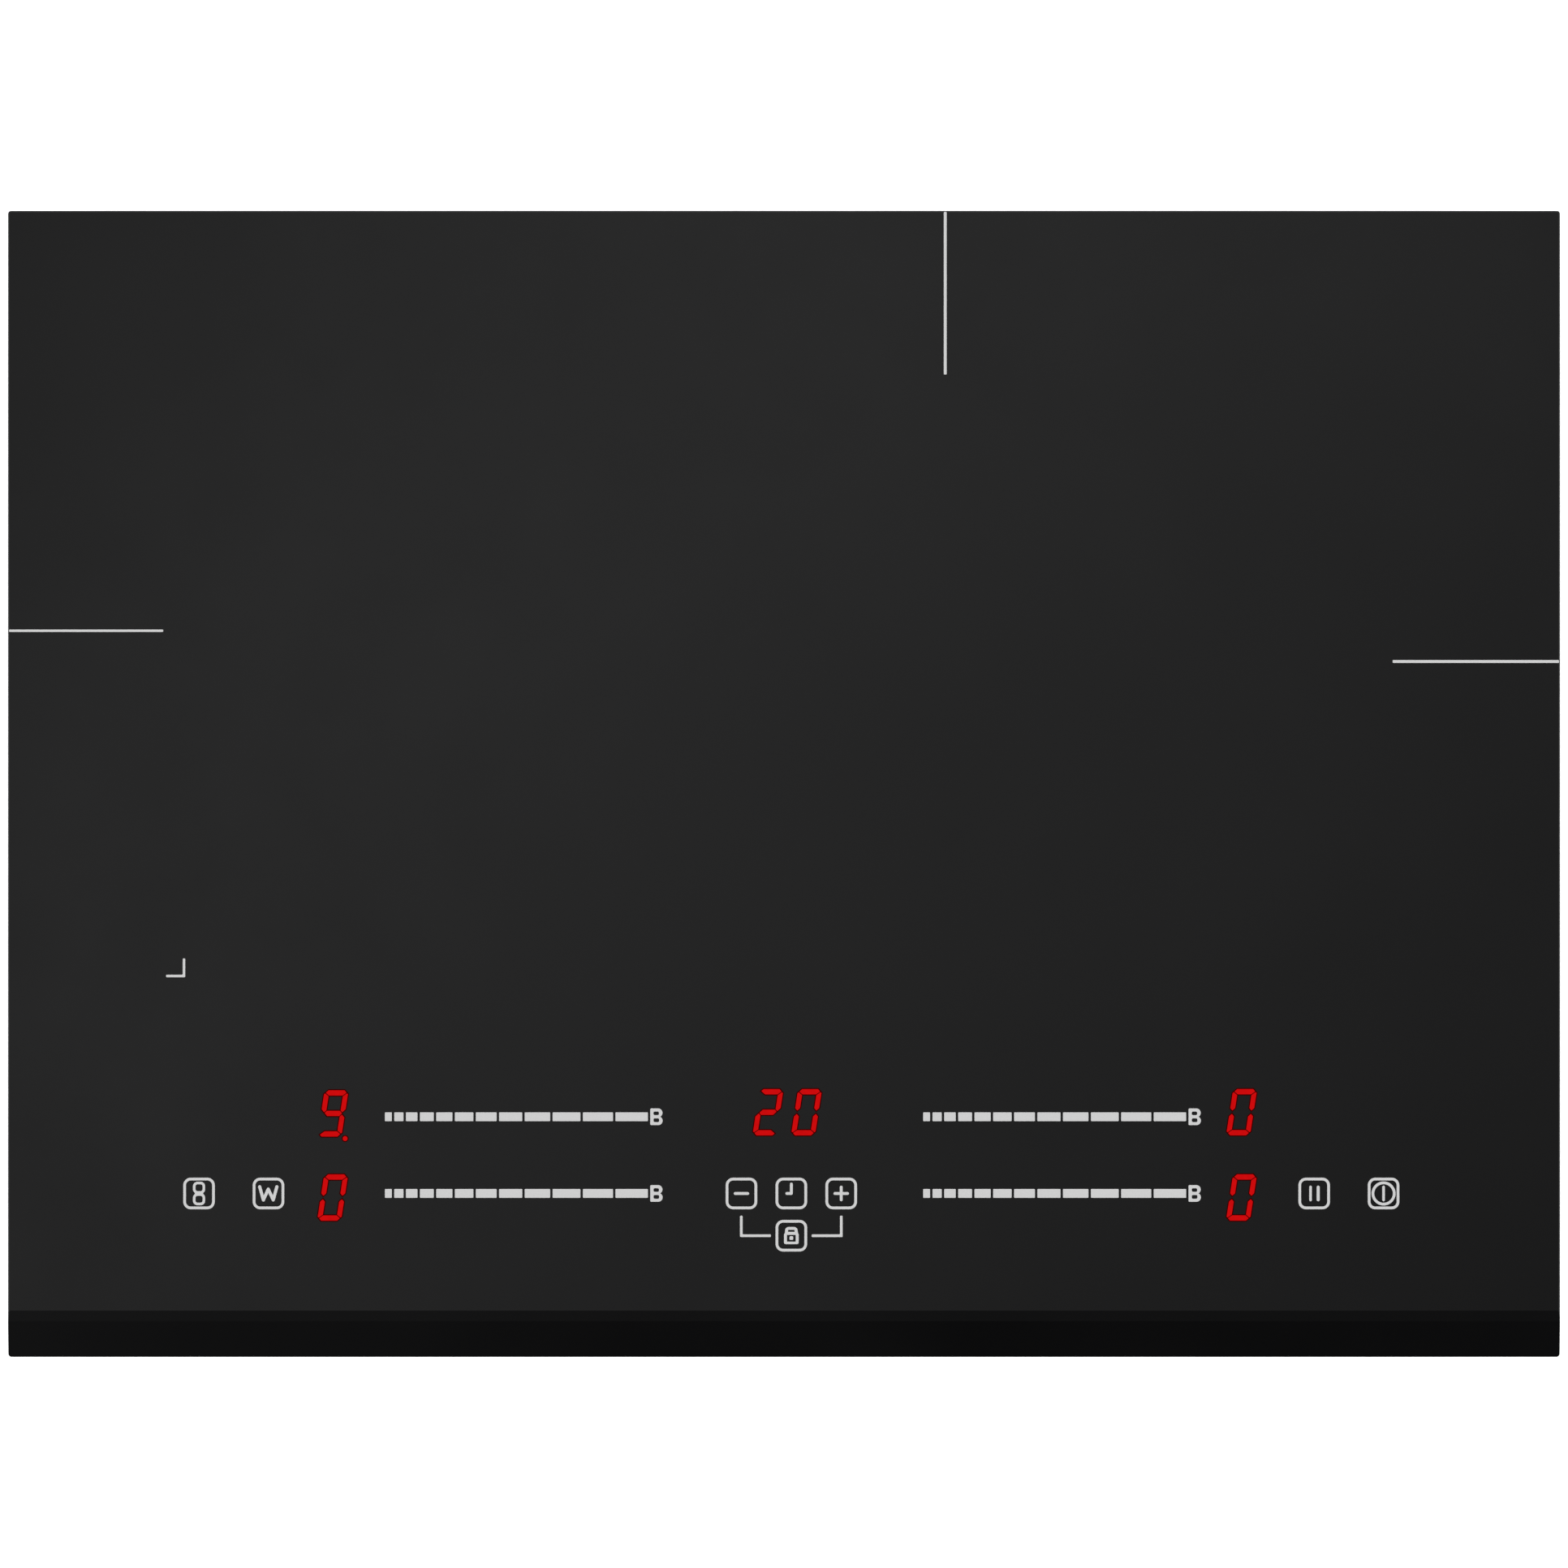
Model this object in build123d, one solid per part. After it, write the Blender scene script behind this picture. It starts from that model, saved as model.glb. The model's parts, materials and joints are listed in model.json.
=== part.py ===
"""Built-in induction hob with four cooking zones and a touch control strip.

Units are millimetres: +X to the user's right, +Y to the rear, +Z up. The origin is the centre of the
plane in which the hob's seal rests on the worktop. The glass lies above it, and the coil tray and the
electronics case hang below it, through the worktop cut-out.
"""

from build123d import *
from math import cos, radians, sin
import os

# ------------------------------------------------------------------ driving dimensions
GLASS_W, GLASS_D, GLASS_T, GLASS_CORNER = 704, 520, 4, 1.5
CUTOUT_W, CUTOUT_D = 680, 490  # the worktop cut-out that the housing drops through
CUTOUT_GAP = 5  # from the frame's skirt to the edge of the cut-out
SHEET = 1.0  # thickness of every pressed sheet part
FIT = 0.2  # gap between parts that slide into each other

# Front facet of the glass: a narrow upper band, then the wide one that thins the front edge.
FACET_UPPER, FACET_UPPER_DROP = 4.8, 0.35
FACET_LOWER, FACET_LOWER_DROP = 16.4, 2.15
ARRIS = 0.5  # ground edge break round the glass

# Heights, downwards from the glass.
SEAL_T, SEAL_BAND, SEAL_INSET, SEAL_CORNER = 2.0, 8, 2, 4
GLASS_Z = SEAL_T
ADHESIVE_T, ADHESIVE_BAND, ADHESIVE_INSET = 0.8, 8, 1
FRAME_Z = GLASS_Z - ADHESIVE_T  # top of the frame's flange
FRAME_FLANGE, SKIRT_Z = 10, -14
TRAY_RIM_Z, TRAY_FLOOR_Z = -0.3, -16
TRAY_UNDER_Z = TRAY_FLOOR_Z - SHEET
CASE_Z = -49  # underside of the electronics case
CASE_FLOOR_Z = CASE_Z + SHEET

FRAME_W, FRAME_D = CUTOUT_W - 2 * CUTOUT_GAP, CUTOUT_D - 2 * CUTOUT_GAP
TRAY_W, TRAY_D = FRAME_W - 2 * (SHEET + FIT), FRAME_D - 2 * (SHEET + FIT)
CASE_W, CASE_D, CASE_FLANGE = 620, 440, 8
CORNER = 6  # corner radius of the frame and tray
CASE_CORNER = 12

# Pan-head screws: shank radius, length, head radius and head height; then their places.
FRAME_SCREW = (1.75, 8, 3.6, 1.8)
FRAME_SCREW_Z, FRAME_SCREWS_X, FRAME_SCREWS_Y = -8, (-230, 0, 230), (-90, 90)
CASE_SCREW = (1.75, 6, 3.2, 1.8)
CASE_SCREWS_X, CASE_SCREWS_Y = (-270, -90, 90, 270), (-100, 0, 100)
LOOSE, TIGHT = 0.35, 0.05  # radial gap of a clearance hole, and of a threaded one

# Cooking zones: centre, straight length (0 for a round coil), first radius and turns of each coil.
LITZ_W, LITZ_H, LITZ_PITCH = 2.6, 3.0, 3.0
MICA_T = 0.6
FORMER_T, FORMER_RIM, FORMER_GAP = 3.0, 2.0, 1.0
MICA_Z = GLASS_Z - MICA_T
COIL_Z = MICA_Z - LITZ_H
FORMER_Z = COIL_Z - FORMER_T
ZONES = {
    "rear_left": dict(at=(-129, 149.5), straight=130, first=28.7, turns=16),
    "front_left": dict(at=(-129, -10.5), straight=130, first=28.7, turns=16),
    "rear_right": dict(at=(205, 142.5), straight=0, first=30, turns=18),
    "front_right": dict(at=(205, -32.5), straight=0, first=30, turns=18),
}
HUB_R, HUB_WALL, HUB_LEDGE = 16, 2, 2
FERRITE_L, FERRITE_W, FERRITE_H = 44, 10, 4
STRAIGHT_BARS_X = (-45, -15, 15, 45)  # the bars along the straights of a long coil
WINDOW_L, WINDOW_W = 34, 7
SENSOR_R, SENSOR_HOLE_R, SENSOR_BRACKET_W, SENSOR_BRACKET_T = 5, 8, 6, 1.5
COIL_SPRING_R, COIL_SPRING_WIRE, COIL_SPRING_TURNS = 4, 0.5, 4
LEAD_R, LEAD_BEND_R = 1.6, 3.5
LEAD_X, LEAD_Z = 11, -12  # each pair of leads runs under its coil to the tray's slot, below the hub
LEAD_SLOT_L, LEAD_SLOT_W = 36, 14
LEAD_TURN_Z = -28  # where the rear coils' leads turn forward, above the boards

# Control strip: rows of keys and sliders, measured from the front edge of the glass.
FRONT_Y = -GLASS_D / 2
ROW_LOCK, ROW_FRONT, ROW_REAR = FRONT_Y + 55.1, FRONT_Y + 74.3, FRONT_Y + 109.1
KEYS = {
    "bridge": (-265.3, ROW_FRONT),
    "keep_warm": (-233.8, ROW_FRONT),
    "minus": (-19.3, ROW_FRONT),
    "timer": (3.3, ROW_FRONT),
    "plus": (26, ROW_FRONT),
    "lock": (3.3, ROW_LOCK),
    "pause": (240.4, ROW_FRONT),
    "power": (272, ROW_FRONT),
}
SLIDER_LENGTH, SLIDER_W, SLIDER_T, SLIDER_POST_X = 120, 8, 1, 50
SLIDER_X = (-121.3, 122.8)
DISPLAY_X = (-204.3, 207.4)
TIMER_X = 1.4
DIGIT_W, DIGIT_D, DISPLAY_RIM, DISPLAY_RECESS, DISPLAY_GAP = 15, 24, 1, 0.4, 0.5
BOARD_T = 1.6
CONTROL_W, CONTROL_D = 580, 92
CONTROL_Y = FRONT_Y + 86
CONTROL_BOARD_Z = -8
CARRIER_WALL, CARRIER_FLOOR_T, CARRIER_LEDGE, CARRIER_CORNER = 1.8, 1.8, 6, 5
CARRIER_FEET_X, CARRIER_FEET_Y, FOOT_R, REST_R = (-270, -135, 0, 135, 270), 38, 4, 3
KEY_SPRING_R, KEY_SPRING_WIRE, KEY_SPRING_TURNS = 3.5, 0.35, 5
RIBBON_X, RIBBON_Y, RIBBON_W, RIBBON_T = -62, CONTROL_Y + CONTROL_D / 2 + 6, 16, 0.8
RIBBON_SLOT_W, RIBBON_SLOT_D = 20, 5

# Power electronics in the case.
POWER_BOARD_Z = -44.6
BOARD_W, BOARD_D, BOARD_Y = 200, 260, -60
BOARD_X = {"left": -150, "right": 120}
BOARD_HOLE = 8  # from a board's edges to its fixing holes
BOARD_CORNER, BOARD_HOLE_R, PILLAR_R, PILLAR_PIN_R = 3, 2, 4, 1.9
FILTER_X, FILTER_Y, FILTER_W, FILTER_D = 265, 40, 70, 180
SINK_W, SINK_D, SINK_Y, SINK_TOP_Z = 56, 150, -10, -20.5
SINK_X = {"left": -205, "right": 64}
SINK_BASE_T, FINS, FIN_T = 4, 11, 1.6
DUCT_TOP_Z, DUCT_WALL, DUCT_GAP = -18.5, 1.5, 0.5
FAN_X = {"left": -225, "right": 75}
FAN_Y = 150
FAN_W, FAN_D = 104, 108
FAN_Z, FAN_TOP_Z, FAN_WALL = CASE_FLOOR_Z, -21, 1.5
IMPELLER_R, INTAKE_R, EYE_R = 42, 34, 32
SHAFT_R, BEARING_R = 1.5, 1.55
MOTOR_R, MOTOR_Z, CUP_R, CUP_WALL = 13, -39, 14.5, 2
CUP_Z, BACKPLATE_Z, BLADES_Z, SHAFT_TOP_Z = -42.5, -26.5, -43, -24
CUP_T, BLADES, BLADE_T = 1.5, 28, 1.1

# Openings in the case: slots of the same width everywhere, and the grilles under the fans.
VENT_W, VENT_PITCH, WALL_VENT_Z = 4, 9, -33
FLOOR_VENT_L, FLOOR_VENT_COLUMNS, FLOOR_VENT_ROW, FLOOR_VENTS_Y = 26, 11, 34, -160
FRONT_VENT_L, FRONT_VENT_COLUMNS = 18, 13
SIDE_VENT_L, SIDE_VENT_COLUMNS, SIDE_VENTS_Y = 16, 11, -20
GRILLE_RINGS, GRILLE_SLOT, GRILLE_SPOKE = (10, 19, 28, 37), 5, 5
BEADS_X, BEAD_L, BEAD_W, BEAD_DEPTH, BEADS_Y = (-40, -20, 165, 185), 240, 9, 0.4, -20

# Mains terminal box at the rear right, with a lid in the floor of the case.
BOX_X, BOX_W = 256, 88
BOX_FRONT_Y, BOX_TOP_Z = 161, -20
BOX_WALL = 2
BOX_BACK_Y = CASE_D / 2 - SHEET - FIT
LID_HINGE_Y, LID_HINGE_Z = 167, CASE_Z + 2.4
LID_W, LID_T, LID_BACK_Y = 80, 2, CASE_D / 2 - 4.4
LID_KNUCKLE_R, LID_KNUCKLE_W, LID_PIN_R, LID_PIN_FIT = 2.3, 5, 1.2, 0.1
LID_WINDOW_BACK_Y, LID_WINDOW_FRONT_Y = CASE_D / 2 - 4, LID_HINGE_Y - LID_KNUCKLE_R - 1
CABLE_Z, CABLE_BORE_R = -33, 6.5
BUSH_R, BUSH_FLANGE_R, BUSH_FLANGE_T, BUSH_INSIDE, BUSH_FIT = 9, 12, 3, 8, 0.1
POLES, POLE_PITCH, BLOCK_Y, BLOCK_W, BLOCK_D, BLOCK_H = 5, 12.5, 179, 66, 20, 15
POLE_R, POLE_CEILING, WIRE_HOLE_R, WIRE_DEPTH = 3.6, 4, 2.2, 5

# Fixing clamps under the tray's ledge, two on each side.
CLAMP_X, CLAMP_Y = 322, 150
CLAMP_SCREW_R, CLAMP_HEAD_R, CLAMP_HEAD_H = 2.5, 4.8, 3
CLAMP_FIT, NUT_R, NUT_H = 0.1, 4.6, 3.5
CLAMP_ARM_Z, CLAMP_ARM_T, CLAMP_ARM_W, CLAMP_REACH = -43, 2, 14, 30
CLAMP_LIP_H, CLAMP_TOOTH_R, CLAMP_TEETH_X = 3, 2, (-3.5, 3.5)


# ------------------------------------------------------------------ shared shapes
def slab(width, depth, low, high, radius=0, x=0, y=0):
    """An upright block between two heights, with rounded corners in plan."""
    outline = RectangleRounded(width, depth, radius) if radius else Rectangle(width, depth)
    return Pos(x, y, low) * extrude(outline, high - low)


def ring(width, depth, band, low, high, radius):
    """An upright rectangular ring, band wide, with its outer corners rounded."""
    inner = slab(width - 2 * band, depth - 2 * band, low, high, max(radius - band, 0.5))
    return slab(width, depth, low, high, radius) - inner


def disc(radius, low, high, x=0, y=0):
    """An upright cylinder between two heights."""
    return Pos(x, y, low) * extrude(Circle(radius), high - low)


def tube(outer, inner, low, high, x=0, y=0):
    """An upright tube between two heights."""
    return Pos(x, y, low) * extrude(Circle(outer) - Circle(inner), high - low)


def racetrack(straight, radius):
    """A round-ended outline, or a circle where there is no straight."""
    return SlotCenterToCenter(straight, 2 * radius) if straight else Circle(radius)


def group(shapes):
    """Separate solids in one node."""
    return Compound([solid for shape in shapes for solid in shape.solids()])


def lying(shape, x, y, z):
    """A shape made along Z, laid along Y at a place."""
    return Pos(x, y, z) * Rot(90, 0, 0) * shape


def screw(shank_r, length, head_r, head_h):
    """A pan-head screw along +Z: the head is below Z = 0, with a cross recess, and the shank above."""
    head = disc(head_r, -head_h, 0)
    head = fillet(head.edges().group_by(Axis.Z)[0], head_h * 0.45)
    shank = disc(shank_r, 0, length)
    shank = chamfer(shank.edges().group_by(Axis.Z)[-1], shank_r * 0.4)
    recess_w, recess_l, recess_top = head_r * 0.28, head_r * 1.1, -head_h / 2
    recess = slab(recess_w, recess_l, -head_h, recess_top) + slab(recess_l, recess_w, -head_h, recess_top)
    return head + shank - recess


def drill(shape, places, radius, depth):
    """Cuts a round hole at each place, through the sheet."""
    bit = Cylinder(radius, depth)
    for place in places:
        shape -= place * bit
    return shape


def vents(columns, length, rows=1, row_pitch=1):
    """A sketch of upright vent slots on a grid."""
    cells = GridLocations(VENT_PITCH, row_pitch, columns, rows)
    return Sketch() + [cell * SlotOverall(length, VENT_W, rotation=90) for cell in cells]


def spring(radius, wire, low, high, turns, x, y):
    """A helical spring of round wire between two heights."""
    height = high - low - 2 * wire
    path = Helix(height / turns, height, radius)
    section = Plane(origin=path @ 0, z_dir=path % 0) * Circle(wire)
    return Pos(x, y, low + wire) * sweep(section, path=path, is_frenet=True)


# ------------------------------------------------------------------ glass and seat
def glass_top():
    """The glass-ceramic panel, with its double front facet and a ground arris on the other edges."""
    top, back, half = GLASS_Z + GLASS_T, GLASS_D / 2, GLASS_W / 2
    facet_start = FRONT_Y + FACET_LOWER + FACET_UPPER
    facet_step = FRONT_Y + FACET_LOWER
    step_z = top - FACET_UPPER_DROP
    edge_z = step_z - FACET_LOWER_DROP
    side = [
        (FRONT_Y + ARRIS, GLASS_Z),
        (FRONT_Y, GLASS_Z + ARRIS),
        (FRONT_Y, edge_z),
        (facet_step, step_z),
        (facet_start, top),
        (back - ARRIS, top),
        (back, top - ARRIS),
        (back, GLASS_Z + ARRIS),
        (back - ARRIS, GLASS_Z),
    ]
    front = [
        (-half + ARRIS, GLASS_Z),
        (-half, GLASS_Z + ARRIS),
        (-half, top - ARRIS),
        (-half + ARRIS, top),
        (half - ARRIS, top),
        (half, top - ARRIS),
        (half, GLASS_Z + ARRIS),
        (half - ARRIS, GLASS_Z),
    ]
    along_x = extrude(Plane.YZ * make_face(Polyline(*side, close=True)), GLASS_W / 2, both=True)
    along_y = extrude(Plane.XZ * make_face(Polyline(*front, close=True)), GLASS_D / 2, both=True)
    return along_x & along_y & slab(GLASS_W, GLASS_D, GLASS_Z, top, GLASS_CORNER)


def worktop_seal():
    """The foam strip round the underside of the glass, which rests on the worktop."""
    inset = 2 * SEAL_INSET
    return ring(GLASS_W - inset, GLASS_D - inset, SEAL_BAND, 0, SEAL_T, SEAL_CORNER)


def adhesive_bead():
    """The silicone bead that bonds the frame to the glass."""
    inset = 2 * ADHESIVE_INSET
    return ring(FRAME_W - inset, FRAME_D - inset, ADHESIVE_BAND, FRAME_Z, GLASS_Z, CORNER)


# ------------------------------------------------------------------ frame and tray
def frame_screw_places():
    """Where the ten screws go through the frame's skirt, each with its +Z pointing inwards."""
    for x in FRAME_SCREWS_X:
        yield Pos(x, -FRAME_D / 2, FRAME_SCREW_Z) * Rot(-90, 0, 0)
        yield Pos(x, FRAME_D / 2, FRAME_SCREW_Z) * Rot(90, 0, 0)
    for y in FRAME_SCREWS_Y:
        yield Pos(-FRAME_W / 2, y, FRAME_SCREW_Z) * Rot(0, 90, 0)
        yield Pos(FRAME_W / 2, y, FRAME_SCREW_Z) * Rot(0, -90, 0)


def mounting_frame():
    """The pressed frame under the glass: a flange for the adhesive and a skirt that holds the tray."""
    flange = ring(FRAME_W, FRAME_D, FRAME_FLANGE, FRAME_Z - SHEET, FRAME_Z, CORNER)
    skirt = ring(FRAME_W, FRAME_D, SHEET, SKIRT_Z, FRAME_Z - SHEET, CORNER)
    return drill(flange + skirt, frame_screw_places(), FRAME_SCREW[0] + LOOSE, 8 * SHEET)


def frame_screws():
    """Ten screws that hold the tray in the frame's skirt."""
    one = screw(*FRAME_SCREW)
    return group(place * one for place in frame_screw_places())


def case_screw_places():
    """Where the fourteen screws go up through the case's flange into the floor of the tray."""
    x_edge, y_edge = CASE_W / 2 + CASE_FLANGE / 2, CASE_D / 2 + CASE_FLANGE / 2
    under = TRAY_UNDER_Z - SHEET
    for x in CASE_SCREWS_X:
        yield Pos(x, -y_edge, under)
        yield Pos(x, y_edge, under)
    for y in CASE_SCREWS_Y:
        yield Pos(-x_edge, y, under)
        yield Pos(x_edge, y, under)


def clamp_places():
    """The four clamp positions by name."""
    for end, y in (("front", -CLAMP_Y), ("rear", CLAMP_Y)):
        for side, x in (("left", -CLAMP_X), ("right", CLAMP_X)):
            yield f"{end}_{side}", x, y


def coil_tray():
    """The aluminium tray that carries the coils and the control strip, screwed into the frame."""
    tray = slab(TRAY_W, TRAY_D, TRAY_UNDER_Z, TRAY_RIM_Z, CORNER - SHEET)
    inner = (TRAY_W - 2 * SHEET, TRAY_D - 2 * SHEET)
    tray -= slab(*inner, TRAY_FLOOR_Z, TRAY_RIM_Z, CORNER - 2 * SHEET)
    tray = drill(tray, frame_screw_places(), FRAME_SCREW[0] + TIGHT, 8 * SHEET)
    tray = drill(tray, case_screw_places(), CASE_SCREW[0] + TIGHT, 12 * SHEET)
    through = dict(low=TRAY_UNDER_Z, high=TRAY_FLOOR_Z)
    for _, x, y in clamp_places():
        tray -= disc(CLAMP_SCREW_R + 3 * CLAMP_FIT, **through, x=x, y=y)
    for zone in ZONES.values():
        x, y = zone["at"]
        tray -= Pos(x, y, TRAY_UNDER_Z) * extrude(SlotOverall(LEAD_SLOT_L, LEAD_SLOT_W), SHEET)
    return tray - slab(RIBBON_SLOT_W, RIBBON_SLOT_D, **through, x=RIBBON_X, y=RIBBON_Y)


def clamp_nuts():
    """Four hexagon nuts pressed into the tray's floor, which take the clamp screws."""
    nut = extrude(RegularPolygon(NUT_R, 6) - Circle(CLAMP_SCREW_R), NUT_H)
    return group(Pos(x, y, TRAY_FLOOR_Z) * nut for _, x, y in clamp_places())


# ------------------------------------------------------------------ induction coils
def outer_radius(zone):
    """The radius of a coil's outermost turn, at its outer side."""
    return zone["first"] + (2 * zone["turns"] - 1) * LITZ_PITCH / 2 + LITZ_W / 2


def spiral_side(straight, first, turns, offset):
    """One side of the litz band: half turns about two centres, joined by straights."""
    edges = []
    for half in range(2 * turns):
        side = 1 if half % 2 == 0 else -1
        centre = (side * straight / 2, side * LITZ_PITCH / 4)
        edges.append(CenterArc(centre, first + half * LITZ_PITCH / 2 + offset, -90 * side, 180))
        if straight and half < 2 * turns - 1:
            end = edges[-1] @ 1
            edges.append(Line(end, (-end.X, end.Y)))
    return edges


def coil_winding(zone):
    """One flat spiral of litz wire, as a band of rectangular section."""
    shape = (zone["straight"], zone["first"], zone["turns"])
    inside, outside = spiral_side(*shape, -LITZ_W / 2), spiral_side(*shape, LITZ_W / 2)
    caps = [Line(inside[0] @ 0, outside[0] @ 0), Line(inside[-1] @ 1, outside[-1] @ 1)]
    face = make_face(inside + outside + caps)
    return Pos(*zone["at"], COIL_Z) * extrude(face, LITZ_H)


def coil_ends(zone):
    """The inner and the outer end of a winding, from the coil's centre."""
    last = zone["first"] + (2 * zone["turns"] - 1) * LITZ_PITCH / 2
    half = zone["straight"] / 2
    return (half, LITZ_PITCH / 4 - zone["first"]), (-half, -LITZ_PITCH / 4 - last)


def coil_former(zone):
    """The plastic carrier under a coil: a plate with a rim, a hub and lightening windows."""
    straight, radius = zone["straight"], outer_radius(zone) + FORMER_GAP
    plate = extrude(racetrack(straight, radius + FORMER_RIM), FORMER_T)
    rim_outline = racetrack(straight, radius + FORMER_RIM) - racetrack(straight, radius)
    hub_outline = Circle(HUB_R + HUB_WALL) - Circle(HUB_R)
    raised = FORMER_T + LITZ_H
    body = plate + extrude(rim_outline, raised) + extrude(hub_outline, raised)
    body -= extrude(Circle(HUB_R - HUB_LEDGE), FORMER_T)
    for x, y in coil_ends(zone):
        body -= disc(LEAD_R + FIT, 0, FORMER_T, x, y)
    if not straight:
        window = extrude(SlotOverall(WINDOW_L, WINDOW_W), FORMER_T)
        for x, y, turn in spokes(zone, 22.5):
            body -= Pos(x, y) * Rot(0, 0, turn) * window
    return Pos(*zone["at"], FORMER_Z) * body


def spokes(zone, start):
    """Places across a coil's turns, with their directions, all round its ends and along its straights."""
    half = zone["straight"] / 2
    mean = (zone["first"] + outer_radius(zone)) / 2
    for i in range(8):
        turn = start + i * 45
        side = half if cos(radians(turn)) > 0 else -half
        yield side + mean * cos(radians(turn)), mean * sin(radians(turn)), turn
    if half:
        for x in STRAIGHT_BARS_X:
            yield x, mean, 90
            yield x, -mean, 90


def ferrite_bars(zone):
    """The ferrite bars under one coil."""
    bar = slab(FERRITE_L, FERRITE_W, FORMER_Z - FERRITE_H, FORMER_Z, 1)
    x0, y0 = zone["at"]
    places = spokes(zone, 22.5 if zone["straight"] else 0)
    return group(Pos(x0 + x, y0 + y) * Rot(0, 0, turn) * bar for x, y, turn in places)


def mica_sheets():
    """The insulating sheet on top of each coil, with a hole for the temperature sensor."""
    sheets = []
    for zone in ZONES.values():
        outline = racetrack(zone["straight"], outer_radius(zone) + FORMER_GAP) - Circle(SENSOR_HOLE_R)
        sheets.append(Pos(*zone["at"], MICA_Z) * extrude(outline, MICA_T))
    return group(sheets)


def temperature_sensors():
    """A sensor in each hub: a silicone plug that touches the glass, on a bracket across the hub."""
    plugs = []
    for zone in ZONES.values():
        x, y = zone["at"]
        plug = disc(SENSOR_R, FORMER_Z, GLASS_Z, x, y)
        bracket = (SENSOR_BRACKET_W, 2 * HUB_R - 1, COIL_Z, COIL_Z + SENSOR_BRACKET_T)
        plugs.append(plug + slab(*bracket, 0, x, y))
    return group(plugs)


def coil_springs():
    """Three springs under each coil, which press it against the glass."""
    springs = []
    for zone in ZONES.values():
        x0, y0 = zone["at"]
        half = zone["straight"] / 2
        for x, y in ((-half - 20, 14), (half + 20, 14), (0, 24)):
            shape = (COIL_SPRING_R, COIL_SPRING_WIRE, TRAY_FLOOR_Z, FORMER_Z, COIL_SPRING_TURNS)
            springs.append(spring(*shape, x0 + x, y0 + y))
    return group(springs)


def coil_leads():
    """Two sleeved leads from each coil, down through the tray to its power board."""
    board_top = POWER_BOARD_Z + BOARD_T
    board_edge = BOARD_Y + BOARD_D / 2 - BOARD_HOLE
    leads = []
    for zone in ZONES.values():
        x0, y0 = zone["at"]
        for (end_x, end_y), x in zip(coil_ends(zone), (x0 + LEAD_X, x0 - LEAD_X)):
            end = (x0 + end_x, y0 + end_y)
            route = [(*end, COIL_Z), (*end, LEAD_Z), (x, y0, LEAD_Z)]
            if y0 > board_edge:
                route += [(x, y0, LEAD_TURN_Z), (x, board_edge, LEAD_TURN_Z), (x, board_edge, board_top)]
            else:
                route += [(x, y0, board_top)]
            path = FilletPolyline(*route, radius=LEAD_BEND_R)
            section = Plane(origin=path @ 0, z_dir=path % 0) * Circle(LEAD_R)
            leads.append(sweep(section, path=path))
    return group(leads)


# ------------------------------------------------------------------ control strip
def over_control(margin, low, high, radius):
    """A block over the control board's outline, with a margin all round."""
    return slab(CONTROL_W + 2 * margin, CONTROL_D + 2 * margin, low, high, radius, 0, CONTROL_Y)


def control_carrier():
    """The plastic tray that holds the control board, on feet that stand on the coil tray."""
    low, high = CONTROL_BOARD_Z - 3, CONTROL_BOARD_Z + BOARD_T
    body = over_control(CARRIER_WALL + FIT, low, high, CARRIER_CORNER)
    body -= over_control(FIT, CONTROL_BOARD_Z, high, BOARD_CORNER)
    body -= over_control(-CARRIER_LEDGE, low + CARRIER_FLOOR_T, CONTROL_BOARD_Z, BOARD_CORNER)
    for x in CARRIER_FEET_X:
        for y in (CONTROL_Y - CARRIER_FEET_Y, CONTROL_Y + CARRIER_FEET_Y):
            body += disc(FOOT_R, TRAY_FLOOR_Z, low, x, y)
            body += disc(REST_R, low, CONTROL_BOARD_Z, x, y)
    return body


def control_board():
    """The touch controller's printed circuit board."""
    low, high = CONTROL_BOARD_Z, CONTROL_BOARD_Z + BOARD_T
    plate = over_control(0, low, high, BOARD_CORNER)
    for corner in GridLocations(CONTROL_W - 14, CONTROL_D - 12, 2, 2):
        plate -= Pos(0, CONTROL_Y) * corner * disc(1.6, low, high)
    return plate


def touch_springs():
    """One contact spring under each of the eight touch keys."""
    low, high = CONTROL_BOARD_Z + BOARD_T, GLASS_Z
    shape = (KEY_SPRING_R, KEY_SPRING_WIRE, low, high, KEY_SPRING_TURNS)
    return group(spring(*shape, x, y) for x, y in KEYS.values())


def slider_electrodes():
    """The four slider electrodes: a strip under the glass on two posts each."""
    strips = []
    board_top, high = CONTROL_BOARD_Z + BOARD_T, GLASS_Z - FIT
    low = high - SLIDER_T
    for x in SLIDER_X:
        for y in (ROW_FRONT, ROW_REAR):
            strip = slab(SLIDER_LENGTH, SLIDER_W, low, high, 1, x, y)
            for post in (-SLIDER_POST_X, SLIDER_POST_X):
                strip += slab(SLIDER_W / 2, SLIDER_W - 2, board_top, low, 0, x + post, y)
            strips.append(strip)
    return group(strips)


def display(width, x, y):
    """A seven-segment display block with a window recess in its face."""
    low, high = CONTROL_BOARD_Z + BOARD_T, GLASS_Z - DISPLAY_GAP
    window = (width - 2 * DISPLAY_RIM, DIGIT_D - 2 * DISPLAY_RIM)
    return slab(width, DIGIT_D, low, high, 0.8, x, y) - slab(*window, high - DISPLAY_RECESS, high, 0.5, x, y)


def zone_displays():
    """The four single-digit zone displays."""
    return group(display(DIGIT_W, x, y) for x in DISPLAY_X for y in (ROW_FRONT, ROW_REAR))


def timer_display():
    """The two-digit timer display."""
    return display(2 * DIGIT_W + 4, TIMER_X, ROW_REAR)


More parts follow.
